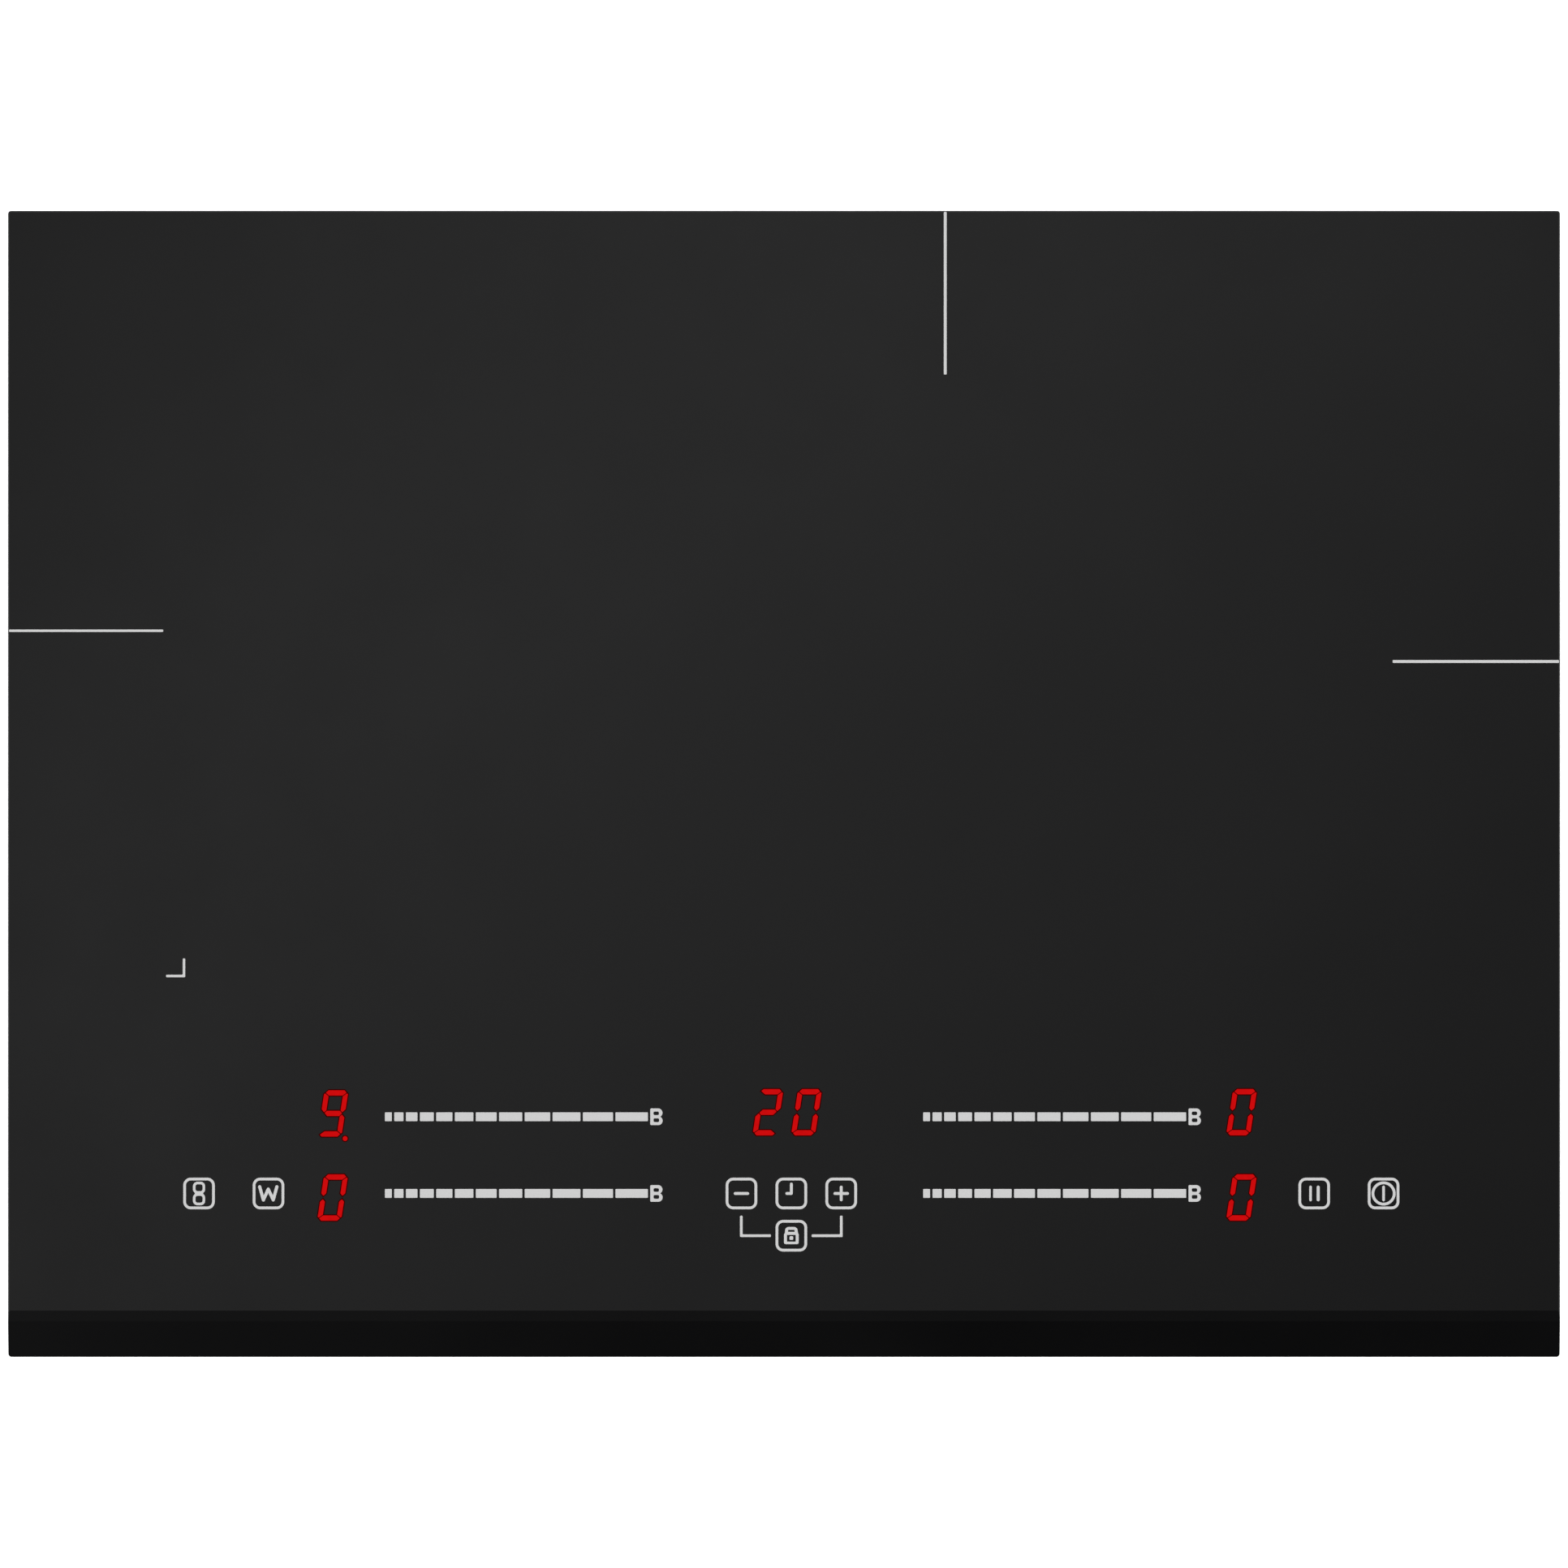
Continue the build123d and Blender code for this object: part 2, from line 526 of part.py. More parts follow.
def ribbon_cable():
    """The flat cable from the control board's rear edge down to the left power board."""
    top, bottom = CONTROL_BOARD_Z + BOARD_T, POWER_BOARD_Z + BOARD_T
    start = CONTROL_Y + CONTROL_D / 2 - 4
    flat = slab(RIBBON_W, RIBBON_Y - start, top, top + RIBBON_T, 0, RIBBON_X, (RIBBON_Y + start) / 2)
    return flat + slab(RIBBON_W, RIBBON_T, bottom, top + RIBBON_T, 0, RIBBON_X, RIBBON_Y)


# ------------------------------------------------------------------ electronics case
def fan_grille(x):
    """The round intake grille under a fan: concentric slots crossed by four spokes."""
    rings = Sketch() + [Circle(radius + GRILLE_SLOT) - Circle(radius) for radius in GRILLE_RINGS]
    across = 2 * (GRILLE_RINGS[-1] + 2 * GRILLE_SLOT)
    cross = Rectangle(GRILLE_SPOKE, across) + Rectangle(across, GRILLE_SPOKE)
    outline = rings - Rot(0, 0, 45) * cross
    return Pos(x, FAN_Y, CASE_Z) * extrude(outline, SHEET)


def electronics_case():
    """The galvanised lower case: walls, a flange under the tray, grilles, vents and the lid's window."""
    case = slab(CASE_W, CASE_D, CASE_Z, TRAY_UNDER_Z, CASE_CORNER)
    flange = (CASE_W + 2 * CASE_FLANGE, CASE_D + 2 * CASE_FLANGE)
    case += slab(*flange, TRAY_UNDER_Z - SHEET, TRAY_UNDER_Z, CASE_CORNER + CASE_FLANGE)
    inner = (CASE_W - 2 * SHEET, CASE_D - 2 * SHEET)
    case -= slab(*inner, CASE_FLOOR_Z, TRAY_UNDER_Z, CASE_CORNER - SHEET)
    case = drill(case, case_screw_places(), CASE_SCREW[0] + LOOSE, 12 * SHEET)
    for x in FAN_X.values():
        case -= fan_grille(x)
    return case - case_vents() - case_beads() - lid_window() - cable_hole(CASE_D / 2)


def case_vents():
    """The slots in the case's floor, front wall and side walls."""
    through = 2 * SHEET
    floor = extrude(vents(FLOOR_VENT_COLUMNS, FLOOR_VENT_L, 2, FLOOR_VENT_ROW), SHEET)
    front = extrude(vents(FRONT_VENT_COLUMNS, FRONT_VENT_L), through, both=True)
    side = extrude(vents(SIDE_VENT_COLUMNS, SIDE_VENT_L), through, both=True)
    cuts = []
    for x in SINK_X.values():
        cuts.append(Pos(x, FLOOR_VENTS_Y, CASE_Z) * floor)
        cuts.append(lying(front, x, -CASE_D / 2, WALL_VENT_Z))
    for x in (-CASE_W / 2, CASE_W / 2):
        cuts.append(Pos(x, SIDE_VENTS_Y, WALL_VENT_Z) * Rot(0, 0, 90) * Rot(90, 0, 0) * side)
    return group(cuts)


def case_beads():
    """Shallow stiffening beads pressed into the case's floor."""
    bead = extrude(SlotOverall(BEAD_L, BEAD_W, rotation=90), BEAD_DEPTH)
    return group(Pos(x, BEADS_Y, CASE_Z) * bead for x in BEADS_X)


def lid_window():
    """The opening in the case's floor that the terminal lid closes."""
    depth, middle = LID_WINDOW_BACK_Y - LID_WINDOW_FRONT_Y, (LID_WINDOW_BACK_Y + LID_WINDOW_FRONT_Y) / 2
    return slab(LID_W + 1, depth, CASE_Z, CASE_FLOOR_Z, 1, BOX_X, middle)


def cable_hole(y):
    """The hole for the cable bush, through the walls near y."""
    return lying(Cylinder(BUSH_R + BUSH_FIT, 8), BOX_X, y, CABLE_Z)


def case_screws():
    """Fourteen screws that hold the case's flange to the tray."""
    one = screw(*CASE_SCREW)
    return group(place * one for place in case_screw_places())


# ------------------------------------------------------------------ power electronics
def power_board(side):
    """A generator board, standing on four moulded pillars."""
    return board(BOARD_X[side], BOARD_Y, BOARD_W, BOARD_D)


def board_pillars():
    """The insulating pillars under the three boards in the case."""
    boards = [(x, BOARD_Y, BOARD_W, BOARD_D) for x in BOARD_X.values()]
    boards.append((FILTER_X, FILTER_Y, FILTER_W, FILTER_D))
    pin = disc(PILLAR_PIN_R, POWER_BOARD_Z, POWER_BOARD_Z + BOARD_T + 1)
    pillar = disc(PILLAR_R, CASE_FLOOR_Z, POWER_BOARD_Z) + pin
    return group(Pos(x, y) * pillar for place in boards for x, y in board_corners(*place))


def board_corners(x0, y0, width, depth):
    """The four fixing holes of a board."""
    for x in (x0 - width / 2 + BOARD_HOLE, x0 + width / 2 - BOARD_HOLE):
        for y in (y0 - depth / 2 + BOARD_HOLE, y0 + depth / 2 - BOARD_HOLE):
            yield x, y


def board(x0, y0, width, depth):
    """A printed circuit board in the case, with its four fixing holes."""
    top = POWER_BOARD_Z + BOARD_T
    plate = slab(width, depth, POWER_BOARD_Z, top, BOARD_CORNER, x0, y0)
    for x, y in board_corners(x0, y0, width, depth):
        plate -= disc(BOARD_HOLE_R, POWER_BOARD_Z, top, x, y)
    return plate


def heatsink(side):
    """An extruded heat sink: a base plate with fins along the air flow."""
    low, x0 = POWER_BOARD_Z + BOARD_T, SINK_X[side]
    fins_z = low + SINK_BASE_T
    sink = slab(SINK_W, SINK_D, low, fins_z, 0, x0, SINK_Y)
    step = (SINK_W - FIN_T) / (FINS - 1)
    for i in range(FINS):
        x = x0 - SINK_W / 2 + FIN_T / 2 + i * step
        sink += slab(FIN_T, SINK_D, fins_z, SINK_TOP_Z, 0, x, SINK_Y)
    return sink


def air_duct(side):
    """The plastic duct that leads the fan's air along the heat sink."""
    low, high, wall = POWER_BOARD_Z + BOARD_T, DUCT_TOP_Z, DUCT_WALL
    sink_edge = SINK_W / 2 + DUCT_GAP
    roof = slab(2 * (sink_edge + wall), SINK_D, SINK_TOP_Z + DUCT_GAP, high)
    outer_wall = slab(wall, SINK_D, low, high, 0, -sink_edge - wall / 2)
    lip = slab(wall, SINK_D, SINK_TOP_Z, high, 0, sink_edge + wall / 2)
    return Pos(SINK_X[side], SINK_Y) * (roof + outer_wall + lip)


def power_transistors():
    """Four transistors against the side of each heat sink, moulded bodies with three legs."""
    low = POWER_BOARD_Z + BOARD_T
    thick, width, height, stand, pitch = 5, 16, 18, 3, 36
    parts = []
    for x0 in SINK_X.values():
        for i in range(4):
            x, y = x0 + (SINK_W + thick) / 2, SINK_Y + (i - 1.5) * pitch
            body = slab(thick, width, low + stand, low + stand + height, 0.5, x, y)
            for leg in (-5.4, 0, 5.4):
                body += slab(0.8, 1.4, low, low + stand, 0, x, y + leg)
            parts.append(body)
    return group(parts)


def film_capacitors():
    """Three film capacitors on each generator board."""
    low = POWER_BOARD_Z + BOARD_T
    length, width, height = 42, 24, 22
    places = [(x, y) for x in (-100, 150) for y in (-165, -130, -95)]
    return group(slab(length, width, low, low + height, 1.5, x, y) for x, y in places)


def input_chokes():
    """A wound ring core on each generator board."""
    foot_h, core_h, mean_r, half, turns = 3.6, 10, 13, 4, 16
    core = tube(mean_r + half, mean_r - half, foot_h, foot_h + core_h)
    core += tube(mean_r + half / 2, mean_r - half / 2, 0, foot_h)
    wire = lying(Torus(7.4, 1.0), mean_r, 0, foot_h + core_h / 2)
    for i in range(turns):
        core += Rot(0, 0, 360 * i / turns) * wire
    return group(Pos(x, -40, POWER_BOARD_Z + BOARD_T) * core for x in (-75, 150))


def filter_board():
    """The mains filter board, between the terminal box and the generators."""
    return board(FILTER_X, FILTER_Y, FILTER_W, FILTER_D)


def filter_choke():
    """The common-mode choke: two windings on a rectangular core."""
    low, y = POWER_BOARD_Z + BOARD_T, FILTER_Y + 40
    width, depth, leg, core_low, core_high, winding_h = 36, 44, 8, low + 2, low + 18, 21
    core = slab(width, depth, core_low, core_high, 3, FILTER_X, y)
    core -= slab(width - 2 * leg, depth - 2 * leg, core_low, core_high, 2, FILTER_X, y)
    for x in (leg / 2 - width / 2, width / 2 - leg / 2):
        core += slab(leg + 6, depth - 20, low, low + winding_h, 4, FILTER_X + x, y)
    return core


def filter_parts():
    """Suppression capacitors and relays on the filter board."""
    low, x = POWER_BOARD_Z + BOARD_T, FILTER_X - 10
    capacitor, relay = (30, 16, 20), (22, 16, 16)
    places = [(capacitor, 0), (capacitor, -22), (relay, -48), (relay, -70)]
    return group(slab(w, d, low, low + h, 1, x, FILTER_Y + y) for (w, d, h), y in places)


# ------------------------------------------------------------------ fans
def fan_housing(side):
    """The blower's volute, open to the grille below and to the heat sink in front."""
    wall, outlet_w = FAN_WALL, SINK_W + 4
    body = slab(FAN_W, FAN_D, FAN_Z, FAN_TOP_Z, 10)
    chamber = disc(FAN_W / 2 - wall - 1, FAN_Z + wall, FAN_TOP_Z - wall)
    outlet = slab(outlet_w, FAN_D / 2, FAN_Z + wall, FAN_TOP_Z - wall, 0, outlet_shift(side), -FAN_D / 4)
    body = body - chamber - outlet - disc(INTAKE_R, FAN_Z, FAN_Z + wall)
    wire_hole = disc(6, FAN_TOP_Z - wall, FAN_TOP_Z, 30, 34)
    return Pos(FAN_X[side], FAN_Y, 0) * (body - wire_hole)


def outlet_shift(side):
    """How far the outlet lies to the side of the fan's axis, towards its heat sink."""
    return max(-15, min(15, SINK_X[side] - FAN_X[side]))


def fan_motors():
    """The stators: each hangs from its housing's cover, with the shaft's bearing in its middle."""
    cover = FAN_TOP_Z - FAN_WALL
    stator = tube(MOTOR_R, BEARING_R, MOTOR_Z, cover)
    return group(Pos(x, FAN_Y, 0) * stator for x in FAN_X.values())


def fan_impeller(side):
    """The impeller: a hub cup round the stator, a back plate, curved blades and an end ring."""
    plate_top = BACKPLATE_Z + CUP_T
    body = tube(IMPELLER_R, CUP_R, BACKPLATE_Z, plate_top)
    body += tube(CUP_R + CUP_WALL, CUP_R, CUP_Z + CUP_T, plate_top)
    body += disc(CUP_R + CUP_WALL, CUP_Z, CUP_Z + CUP_T)
    body += disc(SHAFT_R, CUP_Z, SHAFT_TOP_Z)
    front = ThreePointArc((EYE_R, 0), (EYE_R + 4.2, 1.2), (IMPELLER_R - 1, 5.4))
    back = Pos(0, BLADE_T) * front
    outline = make_face([front, Line(front @ 1, back @ 1), back, Line(back @ 0, front @ 0)])
    blade = extrude(outline, BACKPLATE_Z - BLADES_Z)
    for i in range(BLADES):
        body += Pos(0, 0, BLADES_Z) * Rot(0, 0, 360 * i / BLADES) * blade
    body += tube(IMPELLER_R, IMPELLER_R - 2 * CUP_T, BLADES_Z - CUP_T, BLADES_Z)
    return Pos(FAN_X[side], FAN_Y, 0) * body


# ------------------------------------------------------------------ mains connection
def terminal_box():
    """The box over the lid's window, open below, with two pegs for the lid's hinge."""
    depth = BOX_BACK_Y - BOX_FRONT_Y
    y = (BOX_BACK_Y + BOX_FRONT_Y) / 2
    box = slab(BOX_W, depth, CASE_FLOOR_Z, BOX_TOP_Z, 2, BOX_X, y)
    inner = (BOX_W - 2 * BOX_WALL, depth - 2 * BOX_WALL)
    box -= slab(*inner, CASE_FLOOR_Z, BOX_TOP_Z - BOX_WALL, 1, BOX_X, y)
    box -= cable_hole(BOX_BACK_Y)
    reach, rooted = 6, 0.5
    for side in (-1, 1):
        x = BOX_X + side * (BOX_W / 2 - BOX_WALL - reach / 2 + rooted)
        box += hinge_rod(LID_PIN_R, reach, x)
    return box


def hinge_rod(radius, length, x):
    """A round bar on the lid's hinge axis."""
    return Pos(x, LID_HINGE_Y, LID_HINGE_Z) * Rot(0, 90, 0) * Cylinder(radius, length)


def pole_places():
    """The X of each pole of the terminal block."""
    return [BOX_X + (i - (POLES - 1) / 2) * POLE_PITCH for i in range(POLES)]


def terminal_block():
    """The moulded five-pole terminal block, under the box's ceiling."""
    high = BOX_TOP_Z - BOX_WALL
    low, ceiling = high - BLOCK_H, high - POLE_CEILING
    block = slab(BLOCK_W, BLOCK_D, low, high, 1, BOX_X, BLOCK_Y)
    for x in pole_places():
        block -= disc(POLE_R, low, ceiling, x, BLOCK_Y)
        block -= lying(Cylinder(WIRE_HOLE_R, BLOCK_D), x, BLOCK_Y, ceiling - WIRE_DEPTH)
    return block


def terminal_clamps():
    """Five brass cage clamps with their screws, in the terminal block."""
    high = BOX_TOP_Z - BOX_WALL - POLE_CEILING
    low, slot = high - 8, 0.8
    clamps = []
    for x in pole_places():
        cage = disc(POLE_R - 0.1, low, high, x, BLOCK_Y)
        cage -= lying(Cylinder(WIRE_HOLE_R - 0.1, BLOCK_D), x, BLOCK_Y, high - WIRE_DEPTH)
        cage -= slab(slot, 8, low, low + slot, 0, x, BLOCK_Y)
        clamps.append(cage)
    return group(clamps)


def cable_bushing():
    """The flanged bush in the rear wall that the mains cable passes through."""
    end = BUSH_FLANGE_T
    flange = disc(BUSH_FLANGE_R, 0, end)
    flange = chamfer(flange.edges().group_by(Axis.Z)[-1], 1)
    bush = flange + disc(BUSH_R, -BUSH_INSIDE, end) - disc(CABLE_BORE_R, -BUSH_INSIDE, end)
    return Pos(BOX_X, CASE_D / 2, CABLE_Z) * Rot(-90, 0, 0) * bush


def terminal_cover():
    """The lid in the case's floor, which swings down on two knuckles, with a snap tongue."""
    depth = LID_BACK_Y - LID_HINGE_Y
    lid = slab(LID_W, depth, CASE_Z, CASE_Z + LID_T, 1, BOX_X, LID_HINGE_Y + depth / 2)
    for side in (-1, 1):
        x = BOX_X + side * (LID_W - LID_KNUCKLE_W) / 2
        lid += hinge_rod(LID_KNUCKLE_R, LID_KNUCKLE_W, x)
        lid += slab(LID_KNUCKLE_W, 4, CASE_Z, LID_HINGE_Z, 0, x, LID_HINGE_Y + 2)
    lid -= hinge_rod(LID_PIN_R + LID_PIN_FIT, LID_W + 2, BOX_X)
    tongue = slab(10, 1.4, CASE_Z + LID_T, CASE_Z + 8, 0, BOX_X - 27, LID_BACK_Y - 1.6)
    grip = Pos(BOX_X, LID_BACK_Y - 8, CASE_Z) * extrude(SlotOverall(24, 5), 0.8)
    return lid + tongue - grip


# ------------------------------------------------------------------ fixing clamps
def clamp_screws():
    """Four long clamp screws, each with its head under an arm."""
    start = CLAMP_ARM_Z - FIT
    one = screw(CLAMP_SCREW_R, TRAY_FLOOR_Z + NUT_H - start, CLAMP_HEAD_R, CLAMP_HEAD_H)
    return group(Pos(x, y, start) * one for _, x, y in clamp_places())


def clamp_arm(x, y):
    """A clamp arm, stored along the side of the case, with a toothed lip at its end."""
    low, high = CLAMP_ARM_Z, CLAMP_ARM_Z + CLAMP_ARM_T
    lip_y, lip_z = CLAMP_REACH - CLAMP_ARM_T / 2, high + CLAMP_LIP_H
    arm = slab(CLAMP_ARM_W, CLAMP_REACH, low, high, 0, 0, CLAMP_REACH / 2)
    arm += disc(CLAMP_ARM_W / 2, low, high)
    arm += slab(CLAMP_ARM_W, CLAMP_ARM_T, high, lip_z, 0, 0, lip_y)
    notch = extrude(RegularPolygon(CLAMP_TOOTH_R, 4), 2 * CLAMP_ARM_T, both=True)
    for x_tooth in CLAMP_TEETH_X:
        arm -= lying(notch, x_tooth, lip_y, lip_z)
    arm -= disc(CLAMP_SCREW_R + CLAMP_FIT, low, high)
    return Pos(x, y, 0) * arm


# ------------------------------------------------------------------ the assembly
def nodes():
    """Every sub-part by the name of its node."""
    yield "glass_top", glass_top()
    yield "worktop_seal", worktop_seal()
    yield "adhesive_bead", adhesive_bead()
    yield "mounting_frame", mounting_frame()
    yield "frame_screws", frame_screws()
    yield "coil_tray", coil_tray()
    yield "clamp_nuts", clamp_nuts()
    for name, zone in ZONES.items():
        yield f"coil_former_{name}", coil_former(zone)
        yield f"coil_winding_{name}", coil_winding(zone)
    yield "ferrite_bars_left", group(ferrite_bars(ZONES[n]) for n in ("rear_left", "front_left"))
    yield "ferrite_bars_right", group(ferrite_bars(ZONES[n]) for n in ("rear_right", "front_right"))
    yield "mica_sheets", mica_sheets()
    yield "temperature_sensors", temperature_sensors()
    yield "coil_springs", coil_springs()
    yield "coil_leads", coil_leads()
    yield "control_carrier", control_carrier()
    yield "control_board", control_board()
    yield "touch_springs", touch_springs()
    yield "slider_electrodes", slider_electrodes()
    yield "zone_displays", zone_displays()
    yield "timer_display", timer_display()
    yield "ribbon_cable", ribbon_cable()
    yield "electronics_case", electronics_case()
    yield "case_screws", case_screws()
    for side in ("left", "right"):
        yield f"power_board_{side}", power_board(side)
        yield f"heatsink_{side}", heatsink(side)
        yield f"air_duct_{side}", air_duct(side)
        yield f"fan_housing_{side}", fan_housing(side)
        yield f"fan_impeller_{side}", fan_impeller(side)
    yield "fan_motors", fan_motors()
    yield "board_pillars", board_pillars()
    yield "power_transistors", power_transistors()
    yield "film_capacitors", film_capacitors()
    yield "input_chokes", input_chokes()
    yield "filter_board", filter_board()
    yield "filter_choke", filter_choke()
    yield "filter_parts", filter_parts()
    yield "terminal_box", terminal_box()
    yield "terminal_block", terminal_block()
    yield "terminal_clamps", terminal_clamps()
    yield "terminal_cover", terminal_cover()
    yield "cable_bushing", cable_bushing()
    yield "clamp_screws", clamp_screws()
    for name, x, y in clamp_places():
        yield f"clamp_arm_{name}", clamp_arm(x, y)


os.makedirs("parts", exist_ok=True)
for node, shape in nodes():
    export_step(shape, f"parts/{node}.step")
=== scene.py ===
"""Looks for the built-in induction hob: materials on the CAD nodes, the marks printed on the glass, the
lit digits, and a plain studio. Metres, in the frame of the CAD: +X right, +Y rear, +Z up."""

import json
import math

import bmesh
import bpy
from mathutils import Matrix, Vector
from mathutils.geometry import tessellate_polygon


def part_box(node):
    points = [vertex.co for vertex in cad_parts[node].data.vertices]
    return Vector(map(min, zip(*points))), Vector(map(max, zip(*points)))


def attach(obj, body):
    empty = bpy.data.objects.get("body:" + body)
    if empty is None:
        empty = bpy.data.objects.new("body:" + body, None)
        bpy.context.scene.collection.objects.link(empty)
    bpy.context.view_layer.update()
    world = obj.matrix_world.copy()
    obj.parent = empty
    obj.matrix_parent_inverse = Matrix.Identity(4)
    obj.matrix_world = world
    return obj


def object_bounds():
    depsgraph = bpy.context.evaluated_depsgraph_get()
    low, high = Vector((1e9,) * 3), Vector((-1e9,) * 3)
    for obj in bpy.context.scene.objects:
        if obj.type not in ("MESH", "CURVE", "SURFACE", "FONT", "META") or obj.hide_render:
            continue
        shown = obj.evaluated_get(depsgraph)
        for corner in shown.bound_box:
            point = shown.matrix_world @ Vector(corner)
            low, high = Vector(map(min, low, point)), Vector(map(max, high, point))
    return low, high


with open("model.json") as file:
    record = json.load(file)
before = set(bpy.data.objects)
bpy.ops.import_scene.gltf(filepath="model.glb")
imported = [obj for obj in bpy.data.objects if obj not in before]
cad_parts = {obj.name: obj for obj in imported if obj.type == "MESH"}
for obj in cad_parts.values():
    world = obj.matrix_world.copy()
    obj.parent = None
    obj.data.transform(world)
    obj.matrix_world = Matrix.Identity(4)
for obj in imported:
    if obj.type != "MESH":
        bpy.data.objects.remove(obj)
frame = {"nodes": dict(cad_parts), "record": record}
CAD_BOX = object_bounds()
MM = 0.001
GLASS_LOW, GLASS_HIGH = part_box("glass_top")
# The glass's front edge, cooking surface and half width, in millimetres.
FRONT, TOP, HALF_W = GLASS_LOW.y / MM, GLASS_HIGH.z / MM, GLASS_HIGH.x / MM


# ------------------------------------------------------------------ materials
class Surface:
    """A Principled material on the object's own coordinates, built up a step at a time."""

    def __init__(self, name, metallic=0.0, ior=1.5, **sockets):
        self.material = bpy.data.materials.new(name)
        self.material.use_nodes = True
        self.tree = self.material.node_tree
        self.shader = self.tree.nodes["Principled BSDF"]
        self.shader.inputs["Metallic"].default_value = metallic
        self.shader.inputs["IOR"].default_value = ior
        for socket, value in sockets.items():
            self.shader.inputs[socket.replace("_", " ")].default_value = value
        self.coords = self.node("ShaderNodeTexCoord").outputs["Object"]
        self.height = None

    def node(self, kind, **settings):
        made = self.tree.nodes.new(kind)
        for key, value in settings.items():
            setattr(made, key, value)
        return made

    def link(self, source, target):
        self.tree.links.new(source, target)

    def stretched(self, stretch):
        """The coordinates with each axis scaled, for grain that runs one way."""
        if not stretch:
            return self.coords
        mapping = self.node("ShaderNodeMapping")
        mapping.inputs["Scale"].default_value = stretch
        self.link(self.coords, mapping.inputs["Vector"])
        return mapping.outputs["Vector"]

    def noise(self, size, detail=3.0, stretch=None, distortion=0.0):
        """Fractal noise whose features are about size millimetres across."""
        made = self.node("ShaderNodeTexNoise")
        made.inputs["Scale"].default_value = 1 / (size * MM)
        made.inputs["Detail"].default_value = detail
        made.inputs["Roughness"].default_value = 0.55
        made.inputs["Distortion"].default_value = distortion
        self.link(self.stretched(stretch), made.inputs["Vector"])
        return made.outputs["Fac"]

    def cells(self, size, feature="F1", stretch=None):
        """Voronoi cells about size millimetres across."""
        made = self.node("ShaderNodeTexVoronoi", feature=feature)
        made.inputs["Scale"].default_value = 1 / (size * MM)
        self.link(self.stretched(stretch), made.inputs["Vector"])
        return made

    def ramp(self, value, stops):
        """Maps a value through colour stops, each (position, colour or grey)."""
        made = self.node("ShaderNodeValToRGB")
        elements = made.color_ramp.elements
        while len(elements) < len(stops):
            elements.new(0.5)
        for element, (position, colour) in zip(elements, stops):
            element.position = position
            element.color = (*colour, 1) if isinstance(colour, tuple) else (colour, colour, colour, 1)
        self.link(value, made.inputs["Fac"])
        return made.outputs["Color"]

    def colour(self, value, low, high, middle=None):
        """Base colour between two tones, by a value that lies mostly between 0.3 and 0.7."""
        stops = [(0.3, low), (0.7, high)] if middle is None else [(0.3, low), (0.5, middle), (0.7, high)]
        self.link(self.ramp(value, stops), self.shader.inputs["Base Color"])

    def roughness(self, value, low, high):
        self.link(self.ramp(value, [(0.3, low), (0.7, high)]), self.shader.inputs["Roughness"])

    def bump(self, value, depth, strength=1.0):
        """Adds relief of that depth in millimetres; calls stack."""
        made = self.node("ShaderNodeBump")
        made.inputs["Strength"].default_value = strength
        made.inputs["Distance"].default_value = depth * MM
        self.link(value, made.inputs["Height"])
        if self.height is not None:
            self.link(self.height, made.inputs["Normal"])
        self.height = made.outputs["Normal"]
        self.link(self.height, self.shader.inputs["Normal"])


def scaled(colour, factor):
    return tuple(channel * factor for channel in colour)


def glass_ceramic():
    """Black glass-ceramic: deep and even, with a very faint haze and specks of the ceramic."""
    s = Surface("glass_ceramic", ior=1.52)
    s.colour(s.noise(140, detail=2), (0.0011, 0.0011, 0.0012), (0.0019, 0.0019, 0.002))
    s.roughness(s.noise(60, detail=4), 0.1, 0.135)
    s.bump(s.noise(9, detail=2), 0.0008, 0.5)
    return s.material


def moulded(name, colour, rough, grain=0.35, depth=0.012):
    """Moulded plastic with a fine spark-eroded texture and slight tone changes."""
    s = Surface(name, ior=1.46)
    s.colour(s.noise(22, detail=4), scaled(colour, 0.86), scaled(colour, 1.12))
    s.roughness(s.noise(3, detail=3), rough - 0.06, rough + 0.07)
    s.bump(s.noise(grain, detail=2), depth)
    return s.material


def brushed(name, colour, rough, stretch=(1, 14, 14)):
    """Rolled or drawn metal, with grain along one axis and cloudy variation."""
    s = Surface(name, metallic=1.0)
    s.colour(s.noise(30, detail=5, distortion=0.4), scaled(colour, 0.84), scaled(colour, 1.06))
    grain = s.noise(2.6, detail=5, stretch=stretch)
    s.roughness(grain, rough - 0.07, rough + 0.1)
    s.bump(grain, 0.006)
    return s.material


def galvanised(name, colour):
    """Hot-dip zinc on sheet steel: overlapping spangles of different tone and gloss."""
    s = Surface(name, metallic=1.0)
    spangle = s.cells(9)
    tone = s.node("ShaderNodeSeparateColor")
    s.link(spangle.outputs["Color"], tone.inputs["Color"])
    cloud = s.noise(55, detail=4)
    mix = s.node("ShaderNodeMath", operation="MULTIPLY_ADD")
    mix.inputs[1].default_value = 0.5
    s.link(tone.outputs["Red"], mix.inputs[0])
    s.link(cloud, mix.inputs[2])
    s.link(s.ramp(mix.outputs[0], [(0.35, scaled(colour, 0.8)), (1.0, scaled(colour, 1.15))]),
           s.shader.inputs["Base Color"])
    s.link(s.ramp(tone.outputs["Green"], [(0.0, 0.34), (1.0, 0.52)]), s.shader.inputs["Roughness"])
    s.bump(s.noise(1.2, detail=3), 0.006)
    return s.material


def zinc_plated(name, colour):
    """Bright zinc plating on small steel parts, with a faint yellow cast and dull patches."""
    s = Surface(name, metallic=1.0)
    s.colour(s.noise(2.5, detail=4), scaled(colour, 0.78), scaled(colour, 1.12))
    s.roughness(s.noise(1.2, detail=4), 0.22, 0.42)
    s.bump(s.noise(0.5, detail=3), 0.005)
    return s.material


